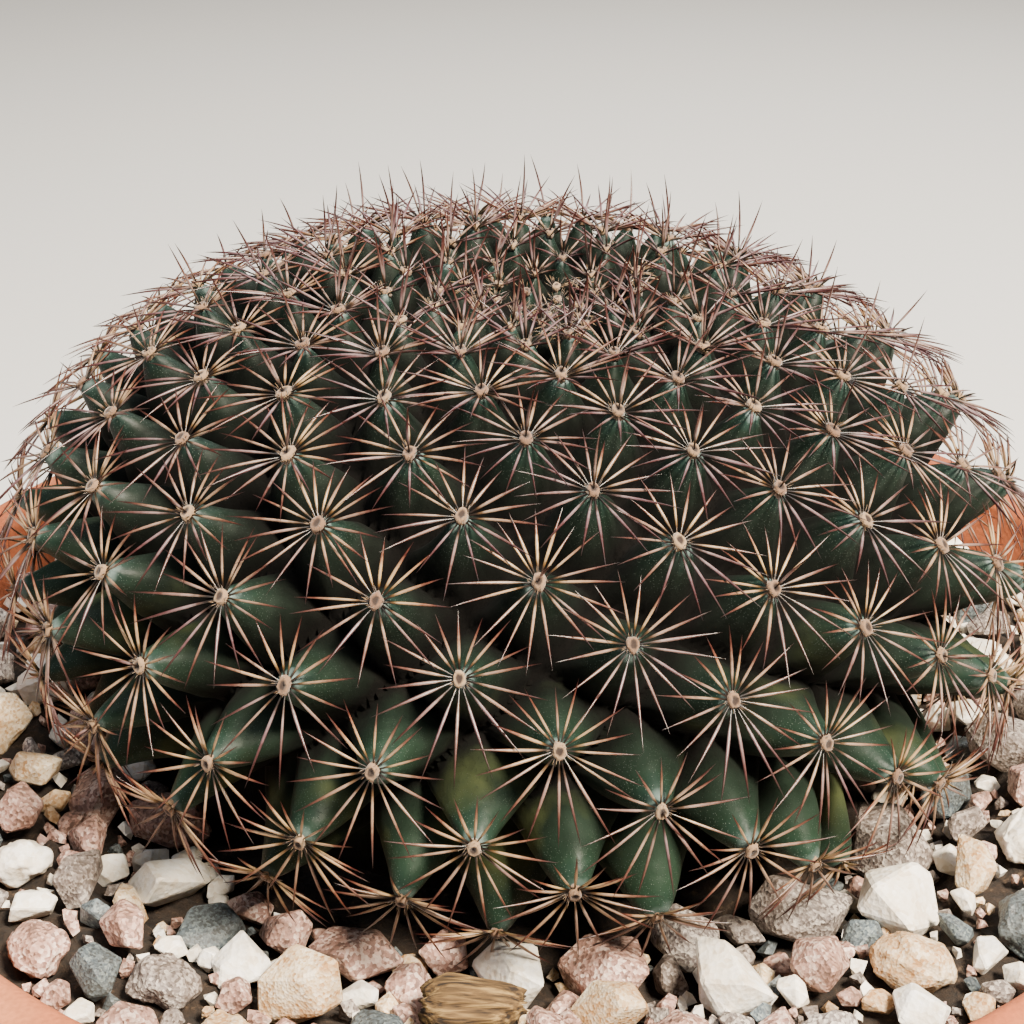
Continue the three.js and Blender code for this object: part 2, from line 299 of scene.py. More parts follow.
@dataclass(frozen=True)
class StemSkin:
    """Waxy cactus skin: grey-green bloom with a painted highlight on the tips, dark green flanks, ochre
    scars, painted shade that makes the clefts near black, and a painted shadow round each areole.
    """

    # grey-green waxy bloom on the tubercles' tips, which also carries a painted highlight there
    bloom: str = "#859a97"
    upper: str = "#1b2c27"
    flank: str = "#121d16"
    # painted shade: this colour and the cleft colour below darken the skin towards near black down in the
    # clefts between tubercles
    deep_painted_shade: str = "#0a100b"
    cleft: str = "#060504"
    fresh: str = "#24392a"
    ochre: str = "#62683a"
    speck: str = "#8d9c92"
    speck_size: float = 0.22 * MM
    roughness: float = 0.46

    def material(self) -> bpy.types.Material:
        """Builds the node material. It reads the fields that Stem.build stores.

        Returns:
            The material.
        """
        material, tree = new_material("cactus_skin_waxy")
        place = add_node(tree, "ShaderNodeTexCoord").outputs["Object"]
        down = add_node(tree, "ShaderNodeAttribute", attribute_name="flank").outputs["Fac"]
        age = add_node(tree, "ShaderNodeAttribute", attribute_name="age").outputs["Fac"]
        tint = add_node(tree, "ShaderNodeAttribute", attribute_name="tint").outputs["Fac"]
        mottle = add_node(tree, "ShaderNodeTexNoise",
                          {"Vector": place, "Scale": 1 / (2.6 * MM), "Detail": 5.0})
        broad = add_node(tree, "ShaderNodeTexNoise", {"Vector": place, "Scale": 1 / (13 * MM), "Detail": 3.0})
        moved = add_node(tree, "ShaderNodeMath",
                         {0: mottle.outputs["Fac"], 1: 0.36, 2: -0.18}, operation="MULTIPLY_ADD")
        depth = add_node(tree, "ShaderNodeMath", {0: down, 1: moved}, operation="ADD")
        # From tip to cleft: bloom with a painted highlight on the tips, then greens that darken as painted
        # shade to near black in the clefts
        green = add_node(tree, "ShaderNodeValToRGB", {0: depth},
                         stops=[(0.06, self.bloom), (0.22, self.upper), (0.38, self.flank), (0.62, self.deep_painted_shade),
                                (0.9, self.cleft)])
        low = add_node(tree, "ShaderNodeMapRange", {0: age, 1: 0.55, 2: 0.95, 3: 0.0, 4: 0.55})
        band = add_node(tree, "ShaderNodeMapRange", {0: depth, 1: 0.95, 2: 0.4, 3: 0.0, 4: 1.0})
        youth = add_node(tree, "ShaderNodeMath", {0: low, 1: band}, operation="MULTIPLY")
        lighter = add_node(tree, "ShaderNodeMix", {0: youth, 6: green.outputs[0], 7: linear(self.fresh)},
                           data_type="RGBA")
        scar = add_node(tree, "ShaderNodeMapRange", {0: broad.outputs["Fac"], 1: 0.56, 2: 0.66})
        where = add_node(tree, "ShaderNodeValToRGB", {0: depth}, stops=[(0.35, "#000000"), (0.62, "#d0d0d0"),
                                                                      (0.9, "#000000")])
        worn = add_node(tree, "ShaderNodeMath", {0: scar, 1: where}, operation="MULTIPLY")
        faded = add_node(tree, "ShaderNodeMath", {0: worn, 1: low}, operation="MULTIPLY")
        scarred = add_node(tree, "ShaderNodeMix", {0: faded, 6: lighter.outputs[2], 7: linear(self.ochre)},
                           data_type="RGBA")
        shade = add_node(tree, "ShaderNodeMapRange", {0: tint, 1: 0.0, 2: 1.0, 3: 0.78, 4: 1.2})
        shadow = add_node(tree, "ShaderNodeMapRange", {0: down, 1: 0.09, 2: 0.17, 3: 0.2, 4: 1.0})
        level = add_node(tree, "ShaderNodeMath", {0: shade, 1: shadow}, operation="MULTIPLY")
        varied = add_node(tree, "ShaderNodeVectorMath",
                          {0: scarred.outputs[2], 1: level}, operation="MULTIPLY")
        cells = add_node(tree, "ShaderNodeTexVoronoi", {"Vector": place, "Scale": 1 / self.speck_size})
        dots = add_node(tree, "ShaderNodeMapRange", {0: cells.outputs["Distance"], 1: 0.24, 2: 0.1})
        near_tip = add_node(tree, "ShaderNodeMapRange", {0: depth, 1: 0.7, 2: 0.1, 3: 0.0, 4: 0.6})
        marks = add_node(tree, "ShaderNodeMath", {0: dots, 1: near_tip}, operation="MULTIPLY")
        skin = add_node(tree, "ShaderNodeMix", {0: marks, 6: varied.outputs[0], 7: linear(self.speck)},
                        data_type="RGBA")
        bumpy = add_node(tree, "ShaderNodeBump",
                         {"Height": mottle.outputs["Fac"], "Distance": 0.35 * MM, "Strength": 0.6})
        pimpled = add_node(tree, "ShaderNodeBump", {"Height": dots, "Distance": 0.06 * MM, "Normal": bumpy})
        dull = add_node(tree, "ShaderNodeMapRange", {0: depth, 1: 0.35, 2: 0.72, 3: self.roughness, 4: 1.0})
        shader = add_node(tree, "ShaderNodeBsdfPrincipled", {"Base Color": skin.outputs[2], "Roughness": dull,
                                                             "Normal": pimpled, "Specular IOR Level": 0.15})
        add_node(tree, "ShaderNodeOutputMaterial", {"Surface": shader})
        return material


@dataclass(frozen=True)
class SpineHorn:
    """Dry spine: a dark base, a straw or mauve shaft and a dark red-brown point."""

    streak: float = 0.5 * MM
    roughness: float = 0.3

    def material(self) -> bpy.types.Material:
        """Builds the node material. It reads how far along a spine is, and its tint.

        Returns:
            The material.
        """
        material, tree = new_material("spine_horn")
        place = add_node(tree, "ShaderNodeTexCoord").outputs["Object"]
        along = add_node(tree, "ShaderNodeAttribute", attribute_name="along").outputs["Fac"]
        tint = add_node(tree, "ShaderNodeAttribute", attribute_name="tint").outputs["Fac"]
        noise = add_node(tree, "ShaderNodeTexNoise",
                         {"Vector": place, "Scale": 1 / self.streak, "Detail": 3.0})
        shift = add_node(tree, "ShaderNodeMath",
                         {0: noise.outputs["Fac"], 1: 0.3, 2: -0.15}, operation="MULTIPLY_ADD")
        moved = add_node(tree, "ShaderNodeMath", {0: along, 1: shift}, operation="ADD")
        eased = add_node(tree, "ShaderNodeMix",
                         {0: add_node(tree, "ShaderNodeMapRange", {0: along, 1: 0.1, 2: 0.3}),
                          2: along, 3: moved})
        straw = add_node(tree, "ShaderNodeValToRGB", {0: eased},
                         stops=[(0.0, "#140c06"), (0.1, "#24160a"), (0.16, "#5e431f"), (0.27, "#a88d64"),
                                (0.48, "#a08260"), (0.66, "#6f4634"), (0.82, "#3d1811"), (1.0, "#1c0805")])
        mauve = add_node(tree, "ShaderNodeValToRGB", {0: eased},
                         stops=[(0.0, "#0c0705"), (0.12, "#170e0a"), (0.18, "#3a2a26"), (0.28, "#746263"),
                                (0.44, "#5f474a"), (0.6, "#3f2324"), (0.78, "#2a0f0c"), (1.0, "#150503")])
        coat = add_node(tree, "ShaderNodeMix",
                        {0: tint, 6: straw.outputs[0], 7: mauve.outputs[0]}, data_type="RGBA")
        shader = add_node(tree, "ShaderNodeBsdfPrincipled",
                          {"Base Color": coat.outputs[2], "Roughness": self.roughness,
                           "Specular IOR Level": 0.5})
        add_node(tree, "ShaderNodeOutputMaterial", {"Surface": shader})
        return material


@dataclass(frozen=True)
class PlantWool:
    """Areole felt and crown wool: matt cream fibres, brown where the spines leave them."""

    cream: str = "#94795a"
    blush: str = "#6c4f3a"
    heart: str = "#25150b"
    fibre: float = 0.18 * MM

    def material(self) -> bpy.types.Material:
        """Builds the node material. A pad stores how far out from its heart a point is.

        Returns:
            The material.
        """
        material, tree = new_material("plant_wool_felted")
        place = add_node(tree, "ShaderNodeTexCoord").outputs["Object"]
        rim = add_node(tree, "ShaderNodeAttribute", attribute_name="along").outputs["Fac"]
        tint = add_node(tree, "ShaderNodeAttribute", attribute_name="tint").outputs["Fac"]
        noise = add_node(tree, "ShaderNodeTexNoise",
                         {"Vector": place, "Scale": 1 / self.fibre, "Detail": 3.0})
        felt = add_node(tree, "ShaderNodeMix", {0: tint, 6: linear(self.cream), 7: linear(self.blush)},
                        data_type="RGBA")
        body = add_node(tree, "ShaderNodeMapRange", {0: rim, 1: 0.4, 2: 0.72})
        colour = add_node(tree, "ShaderNodeMix", {0: body, 6: linear(self.heart), 7: felt.outputs[2]},
                          data_type="RGBA")
        bump = add_node(tree, "ShaderNodeBump", {"Height": noise.outputs["Fac"], "Distance": 0.1 * MM})
        shader = add_node(tree, "ShaderNodeBsdfPrincipled",
                          {"Base Color": colour.outputs[2], "Roughness": 0.9,
                           "Sheen Weight": 0.3, "Normal": bump})
        add_node(tree, "ShaderNodeOutputMaterial", {"Surface": shader})
        return material


class Rock(Enum):
    """The kinds of stone in the dressing. Each value goes into the names of its finish and its gravel."""

    MARBLE = "marble"
    PINK_GRANITE = "pink_granite"
    GREY_GRANITE = "grey_granite"
    LIMESTONE = "limestone"
    SLATE = "slate"


@dataclass(frozen=True)
class StoneFinish:
    """Broken rock: mineral grains in a few colours, stained by soil, with a rough break.

    Marble is nearly white with warm clouds, granite is speckled, limestone is sandy and slate is dull.
    """

    rock: Rock
    grains: tuple[str, ...]  # colours of the mineral grains
    grain: float  # width of a grain
    stain: str
    stain_share: float
    roughness: float
    sparkle: float  # how much grain edges lift the surface

    def material(self) -> bpy.types.Material:
        """Builds the node material.

        Returns:
            The material.
        """
        material, tree = new_material(f"{self.rock.value}_broken")
        place = add_node(tree, "ShaderNodeTexCoord").outputs["Object"]
        tint = add_node(tree, "ShaderNodeAttribute", attribute_name="tint").outputs["Fac"]
        cells = add_node(tree, "ShaderNodeTexVoronoi", {"Vector": place, "Scale": 1 / self.grain})
        pick = add_node(tree, "ShaderNodeSeparateColor", {0: cells.outputs["Color"]}).outputs[0]
        cloud = add_node(tree, "ShaderNodeTexNoise", {"Vector": place, "Scale": 1 / (5 * MM), "Detail": 6.0,
                                                      "Roughness": 0.65})
        spread = add_node(tree, "ShaderNodeMath", {0: cloud.outputs["Fac"], 1: 1.5, 2: -0.75},
                          operation="MULTIPLY_ADD")
        mixed = add_node(tree, "ShaderNodeMath", {0: pick, 1: spread}, operation="ADD")
        last = len(self.grains) - 1
        mineral = add_node(tree, "ShaderNodeValToRGB", {0: mixed},
                           stops=[(i / last, colour) for i, colour in enumerate(self.grains)])
        fine = add_node(tree, "ShaderNodeTexNoise",
                        {"Vector": place, "Scale": 1 / (0.35 * MM), "Detail": 4.0})
        level = add_node(tree, "ShaderNodeMapRange", {0: tint, 3: 0.74, 4: 1.16})
        toned = add_node(tree, "ShaderNodeVectorMath", {0: mineral, 1: level}, operation="MULTIPLY")
        edge = add_node(tree, "ShaderNodeMapRange", {0: cloud.outputs["Fac"], 1: 0.62, 2: 0.44, 3: 0.0,
                                                     4: self.stain_share})
        stained = add_node(tree, "ShaderNodeMix", {0: edge, 6: toned.outputs[0], 7: linear(self.stain)},
                           data_type="RGBA")
        lift = add_node(tree, "ShaderNodeMath", {0: fine.outputs["Fac"], 1: cells.outputs["Distance"]},
                        operation="ADD")
        bump = add_node(tree, "ShaderNodeBump", {"Height": lift, "Distance": self.sparkle, "Strength": 0.7})
        shader = add_node(tree, "ShaderNodeBsdfPrincipled", {"Base Color": stained.outputs[2],
                                                             "Roughness": self.roughness, "Normal": bump})
        add_node(tree, "ShaderNodeOutputMaterial", {"Surface": shader})
        return material


ROCKS = {
    finish.rock: finish
    for finish in (
        StoneFinish(Rock.MARBLE, ("#e2d8c6", "#f1ece0", "#f7f4ec", "#fbf9f4"), 0.55 * MM,
                    "#c9b594", 0.35, 0.5, 0.10 * MM),
        StoneFinish(Rock.PINK_GRANITE, ("#4c3b38", "#936f64", "#bb9688", "#dcc6b8"), 0.34 * MM,
                    "#94705c", 0.35, 0.6, 0.12 * MM),
        StoneFinish(Rock.GREY_GRANITE, ("#383434", "#6c6360", "#8f8680", "#bdb4aa"), 0.3 * MM,
                    "#7a6756", 0.3, 0.62, 0.12 * MM),
        StoneFinish(Rock.LIMESTONE, ("#b38a5c", "#d2b78e", "#e2cfae", "#ecdfc6"), 0.3 * MM,
                    "#9a6a3c", 0.5, 0.75, 0.10 * MM),
        StoneFinish(Rock.SLATE, ("#2c3338", "#444f56", "#5a666c", "#75807f"), 0.25 * MM, "#4c4638", 0.3, 0.55,
                    0.08 * MM),
    )
}


@dataclass(frozen=True)
class PottingSoil:
    """Damp peaty soil: dark crumbs with a few paler bits."""

    dark: str = "#17110c"
    crumb: str = "#33261b"
    bit: str = "#6b5641"
    size: float = 1.4 * MM

    def material(self) -> bpy.types.Material:
        """Builds the node material.

        Returns:
            The material.
        """
        material, tree = new_material("potting_soil_damp")
        place = add_node(tree, "ShaderNodeTexCoord").outputs["Object"]
        noise = add_node(tree, "ShaderNodeTexNoise", {"Vector": place, "Scale": 1 / self.size, "Detail": 8.0,
                                                      "Roughness": 0.7})
        tone = add_node(tree, "ShaderNodeValToRGB", {0: noise.outputs["Fac"]},
                        stops=[(0.35, self.dark), (0.58, self.crumb), (0.74, self.bit)])
        bump = add_node(tree, "ShaderNodeBump", {"Height": noise.outputs["Fac"], "Distance": 1.2 * MM})
        shader = add_node(tree, "ShaderNodeBsdfPrincipled",
                          {"Base Color": tone, "Roughness": 0.95, "Normal": bump})
        add_node(tree, "ShaderNodeOutputMaterial", {"Surface": shader})
        return material


@dataclass(frozen=True)
class BarkFibre:
    """Weathered bark: long grey-brown fibres with dark gaps. The grain runs along the chip's length, X."""

    dark: str = "#20160c"
    brown: str = "#5c4526"
    pale: str = "#957a4a"
    fibre: float = 0.45 * MM
    run: float = 6 * MM

    def material(self) -> bpy.types.Material:
        """Builds the node material.

        Returns:
            The material.
        """
        material, tree = new_material("bark_weathered")
        place = add_node(tree, "ShaderNodeTexCoord").outputs["Object"]
        grain = add_node(tree, "ShaderNodeMapping", {"Vector": place,
                                                     "Scale": (1 / self.run, 1 / self.fibre, 1 / self.fibre)})
        noise = add_node(tree, "ShaderNodeTexNoise", {"Vector": grain, "Scale": 1.0, "Detail": 4.0})
        tone = add_node(tree, "ShaderNodeValToRGB", {0: noise.outputs["Fac"]},
                        stops=[(0.36, self.dark), (0.52, self.brown), (0.7, self.pale)])
        bump = add_node(tree, "ShaderNodeBump", {"Height": noise.outputs["Fac"], "Distance": 0.4 * MM})
        shader = add_node(tree, "ShaderNodeBsdfPrincipled",
                          {"Base Color": tone, "Roughness": 0.9, "Normal": bump})
        add_node(tree, "ShaderNodeOutputMaterial", {"Surface": shader})
        return material


@dataclass(frozen=True)
class StudioPaper:
    """A matt paper sweep, off-white, with a barely visible fibre."""

    white: str = "#e9e7e2"
    fibre: float = 3 * MM

    def material(self) -> bpy.types.Material:
        """Builds the node material.

        Returns:
            The material.
        """
        material, tree = new_material("studio_paper_matt")
        place = add_node(tree, "ShaderNodeTexCoord").outputs["Object"]
        noise = add_node(tree, "ShaderNodeTexNoise", {"Vector": place, "Scale": 1 / self.fibre})
        level = add_node(tree, "ShaderNodeMapRange", {0: noise.outputs["Fac"], 3: 0.97, 4: 1.0})
        tone = add_node(tree, "ShaderNodeVectorMath",
                        {0: linear(self.white)[:3], 1: level}, operation="MULTIPLY")
        shader = add_node(tree, "ShaderNodeBsdfPrincipled", {"Base Color": tone, "Roughness": 0.95})
        add_node(tree, "ShaderNodeOutputMaterial", {"Surface": shader})
        return material


# --------------------------------------------------------------------------- node trees for what repeats
class ShaftTree:
    """Tapered curved shafts on points: spines, and the fibres of felt and wool.

    Each point of the input mesh carries "turn" (its Euler angles) and "size" (its scale).
    """

    def __init__(self) -> None:
        """Builds the tree and notes its input sockets."""
        tree = self.tree = bpy.data.node_groups.new("shafts_on_points", "GeometryNodeTree")
        face = tree.interface
        sockets = {
            "Points": "NodeSocketGeometry",
            "Length": "NodeSocketFloat",
            "Thickness": "NodeSocketFloat",
            "Bow": "NodeSocketFloat",
            "Rings": "NodeSocketInt",
            "Sides": "NodeSocketInt",
            "Finish": "NodeSocketMaterial",
        }
        self.inputs = {key: face.new_socket(key, in_out="INPUT", socket_type=kind)
                       for key, kind in sockets.items()}
        face.new_socket("Shafts", in_out="OUTPUT", socket_type="NodeSocketGeometry")
        given = add_node(tree, "NodeGroupInput").outputs
        tip = add_node(tree, "ShaderNodeCombineXYZ", {"Z": given["Length"]})
        line = add_node(tree, "GeometryNodeCurvePrimitiveLine", {"End": tip})
        steps = add_node(tree, "GeometryNodeResampleCurve", {"Curve": line, "Count": given["Rings"]})
        along = add_node(tree, "GeometryNodeSplineParameter").outputs["Factor"]
        packed = add_node(tree, "ShaderNodeMath", {0: along, 1: 1.35}, operation="POWER")
        noted = add_node(tree, "GeometryNodeStoreNamedAttribute",
                         {"Geometry": steps, "Name": "along", "Value": packed},
                         data_type="FLOAT", domain="POINT")
        rise = add_node(tree, "ShaderNodeMath", {0: packed, 1: given["Length"]}, operation="MULTIPLY")
        square = add_node(tree, "ShaderNodeMath", {0: packed, 1: 2.0}, operation="POWER")
        lean = add_node(tree, "ShaderNodeMath", {0: square, 1: given["Bow"]}, operation="MULTIPLY")
        spot = add_node(tree, "ShaderNodeCombineXYZ", {"X": lean, "Z": rise})
        bent = add_node(tree, "GeometryNodeSetPosition", {"Geometry": noted, "Position": spot})
        taper = add_node(tree, "ShaderNodeFloatCurve", {"Value": packed},
                         bends=[(0.0, 0.66), (0.06, 0.74), (0.24, 1.0), (0.62, 0.7), (1.0, 0.06)])
        radius = add_node(tree, "ShaderNodeMath", {0: taper, 1: given["Thickness"]}, operation="MULTIPLY")
        ring = add_node(tree, "GeometryNodeCurvePrimitiveCircle",
                        {"Resolution": given["Sides"], "Radius": 1.0})
        shaft = add_node(tree, "GeometryNodeCurveToMesh",
                         {"Curve": bent, "Profile Curve": ring, "Scale": radius,
                            "Fill Caps": True})
        turn = add_node(tree, "GeometryNodeInputNamedAttribute", {"Name": "turn"}, data_type="FLOAT_VECTOR")
        size = add_node(tree, "GeometryNodeInputNamedAttribute", {"Name": "size"}, data_type="FLOAT_VECTOR")
        angles = add_node(tree, "FunctionNodeEulerToRotation", {0: turn})
        copies = add_node(tree, "GeometryNodeInstanceOnPoints", {"Points": given["Points"], "Instance": shaft,
                                                                 "Rotation": angles, "Scale": size})
        real = add_node(tree, "GeometryNodeRealizeInstances", {"Geometry": copies})
        soft = add_node(tree, "GeometryNodeSetShadeSmooth", {"Geometry": real})
        done = add_node(tree, "GeometryNodeSetMaterial", {"Geometry": soft, "Material": given["Finish"]})
        add_node(tree, "NodeGroupOutput", {0: done})

    def grow(self, obj: bpy.types.Object, values: dict[str, object]) -> bpy.types.Object:
        """Turns a mesh of points into shafts.

        Args:
            obj: The points, with their "turn" and "size".
            values: Input name to value.

        Returns:
            The same object, now a plain mesh.
        """
        return run_tree(obj, self.tree, self.inputs, values)


class ChipTree:
    """Stone chips on points, picked from a few shapes.

    Each point carries "turn", "size" and "pick", the number of its shape.
    """

    def __init__(self, shapes: int) -> None:
        """Builds the tree.

        Args:
            shapes: How many shapes there are to pick from.
        """
        tree = self.tree = bpy.data.node_groups.new("chips_on_points", "GeometryNodeTree")
        face = tree.interface
        self.inputs = {"Points": face.new_socket("Points", in_out="INPUT", socket_type="NodeSocketGeometry")}
        for number in range(shapes):
            key = f"Shape {number}"
            self.inputs[key] = face.new_socket(key, in_out="INPUT", socket_type="NodeSocketObject")
        self.inputs["Finish"] = face.new_socket("Finish", in_out="INPUT", socket_type="NodeSocketMaterial")
        face.new_socket("Chips", in_out="OUTPUT", socket_type="NodeSocketGeometry")
        given = add_node(tree, "NodeGroupInput").outputs
        choice = add_node(tree, "GeometryNodeJoinGeometry")
        for number in reversed(range(shapes)):
            shape = add_node(tree, "GeometryNodeObjectInfo",
                             {"Object": given[f"Shape {number}"], "As Instance": True})
            tree.links.new(shape.outputs["Geometry"], choice.inputs[0])
        turn = add_node(tree, "GeometryNodeInputNamedAttribute", {"Name": "turn"}, data_type="FLOAT_VECTOR")
        size = add_node(tree, "GeometryNodeInputNamedAttribute", {"Name": "size"}, data_type="FLOAT_VECTOR")
        pick = add_node(tree, "GeometryNodeInputNamedAttribute", {"Name": "pick"}, data_type="INT")
        angles = add_node(tree, "FunctionNodeEulerToRotation", {0: turn})
        copies = add_node(tree, "GeometryNodeInstanceOnPoints",
                          {"Points": given["Points"], "Instance": choice,
                           "Pick Instance": True, "Instance Index": pick,
                           "Rotation": angles, "Scale": size})
        real = add_node(tree, "GeometryNodeRealizeInstances", {"Geometry": copies})
        done = add_node(tree, "GeometryNodeSetMaterial", {"Geometry": real, "Material": given["Finish"]})
        add_node(tree, "NodeGroupOutput", {0: done})

    def scatter(self, obj: bpy.types.Object, values: dict[str, object]) -> bpy.types.Object:
        """Turns a mesh of points into chips.

        Args:
            obj: The points.
            values: Input name to value.

        Returns:
            The same object, now a plain mesh.
        """
        return run_tree(obj, self.tree, self.inputs, values)


def run_tree(obj: bpy.types.Object, tree: bpy.types.NodeTree, sockets: dict,
             values: dict) -> bpy.types.Object:
    """Runs a geometry tree on an object and keeps the result as its mesh.

    Args:
        obj: The object.
        tree: The geometry tree.
        sockets: Input name to interface socket.
        values: Input name to value.

    Returns:
        The same object, with no modifier.
    """
    modifier = obj.modifiers.new("tree", "NODES")
    modifier.node_group = tree
    for key, value in values.items():
        modifier[sockets[key].identifier] = value
    settle(obj)
    for name in ("turn", "size", "pick"):
        layer = obj.data.attributes.get(name)
        if layer is not None:
            obj.data.attributes.remove(layer)
    return obj


@dataclass
class PointCloud:
    """Places, turns, sizes and tints of the copies that a tree will make."""

    places: list[Vector] = field(default_factory=list)
    turns: list[Euler] = field(default_factory=list)
    sizes: list[tuple[float, float, float]] = field(default_factory=list)
    tints: list[float] = field(default_factory=list)
    picks: list[int] = field(default_factory=list)

    def add(self, place: Vector, turn: Euler, size: tuple[float, float, float], tint: float,
            pick: int = 0) -> None:
        """Adds one copy.

        Args:
            place: Where the copy stands.
            turn: Its rotation.
            size: Its scale on each of its own axes.
            tint: A number from 0 to 1 for the finish to read.
            pick: Which of the tree's shapes is copied.
        """
        self.places.append(place)
        self.turns.append(turn)
        self.sizes.append(size)
        self.tints.append(tint)
        self.picks.append(pick)

    def mesh(self, name: str) -> bpy.types.Object:
        """Makes the mesh of points that a tree takes.

        Args:
            name: The object's name.

        Returns:
            An object of loose points, which store their turn, size, tint and pick.
        """
        fields = {"turn": np.array([tuple(t) for t in self.turns]), "size": np.array(self.sizes),
                  "tint": np.array(self.tints), "pick": np.array(self.picks, dtype=np.int32)}
        return mesh_object(name, np.array([tuple(p) for p in self.places]), [], fields, smooth=False)


def facing(way: Vector, hint: Vector) -> Euler:
    """Euler angles that turn +Z to one direction and +X towards another.

    Args:
        way: Where +Z goes.
        hint: Where +X goes, as nearly as +Z allows.

    Returns:
        The angles.
    """
    z = way.normalized()
    x = (hint - z * hint.dot(z)).normalized()
    return Matrix((x, z.cross(x), z)).transposed().to_euler()


# --------------------------------------------------------------------------- the lattice of tubercles
@dataclass
class Areole:
    """One tubercle's tip, in the pan's frame."""

    pair: int
    row: int
    point: Vector
    normal: Vector
    down: Vector
    across: Vector


@dataclass
class Lattice:
    """The squashed globe of the stem and the spiral order of its tubercles, as in the CAD part."""

    radius: float = 56 * MM
    upper_height: float = 0.59
    lower_height: float = 0.65
    upper_power: float = 0.9
    lower_power: float = 1.1
    widest_z: float = 113 * MM
    lean: float = math.radians(3.1)
    dip: float = 4.5 * MM
    dip_radius: float = 14 * MM
    first_pair: int = 3
    last_pair: int = 120
    divergence: float = math.radians(68.69)
    first_azimuth: float = math.radians(104.2)
    angle_rate: float = 0.0116
    angle_growth: float = 4.83e-5
    step: int = 8

    def globe(self, polar: np.ndarray, azimuth: np.ndarray) -> np.ndarray:
        """Points on the globe in the plant's own frame.

        Args:
            polar: Angles from the crown.
            azimuth: Angles from the front towards +X.

        Returns:
            One row for each point.
        """
        upper = polar < np.pi / 2
        power = np.where(upper, self.upper_power, self.lower_power)
        height = np.where(upper, self.upper_height, self.lower_height) * self.radius
        r = self.radius * np.abs(np.sin(polar)) ** power
        c = np.cos(polar)
        sink = np.where(upper, self.dip * np.exp(-((r / self.dip_radius) ** 2)), 0.0)
        z = height * np.sign(c) * np.abs(c) ** power - sink
        return np.stack([r * np.sin(azimuth), -r * np.cos(azimuth), z], axis=-1)

    def normals(self, polar: np.ndarray, azimuth: np.ndarray) -> np.ndarray:
        """Outward unit normals of the globe at the same angles.

        Args:
            polar: Angles from the crown.
            azimuth: Angles from the front towards +X.

        Returns:
            One unit vector for each point.
        """
        step = 1e-3
        along = self.globe(polar + step, azimuth) - self.globe(polar - step, azimuth)
        around = np.stack([np.cos(azimuth), np.sin(azimuth), np.zeros_like(azimuth)], axis=-1)
        normal = np.cross(along, around)
        return normal / np.linalg.norm(normal, axis=-1)[..., None]

    def frame(self) -> Matrix:
        """The plant's place and lean in the pan."""
        return Matrix.Translation((0, 0, self.widest_z)) @ Matrix.Rotation(self.lean, 4, "Y")

    def angles(self) -> tuple[np.ndarray, np.ndarray, np.ndarray, np.ndarray]:
        """Pair numbers, row numbers, polar angles and azimuths of every tubercle.

        Returns:
            Four arrays in that order, with two tubercles for each pair.
        """
        pairs = np.repeat(np.arange(self.first_pair, self.last_pair + 1), 2)
        sides = np.tile([0, 1], len(pairs) // 2)
        rows = pairs % self.step + self.step * ((pairs // self.step + sides) % 2)
        polar = self.angle_rate * pairs + self.angle_growth * pairs.astype(float) ** 2
        azimuth = self.first_azimuth + self.divergence * pairs + np.pi * sides
        return pairs, rows, polar, azimuth

    def areoles(self) -> list[Areole]:
        """Every tubercle's tip, from the youngest to the oldest, in the pan's frame.

        Returns:
            One areole for each tubercle.
        """
        pairs, rows, polar, azimuth = self.angles()
        points = self.globe(polar, azimuth)
        normals = self.normals(polar, azimuth)
        place, turn = self.frame(), self.frame().to_3x3()
        up = turn @ Vector((0, 0, 1))
        made = []
        for pair, row, point, normal in zip(pairs, rows, points, normals):
            out = turn @ Vector(normal)
            across = up.cross(out).normalized()
            made.append(Areole(int(pair), int(row), place @ Vector(point), out, across.cross(out), across))
        return made


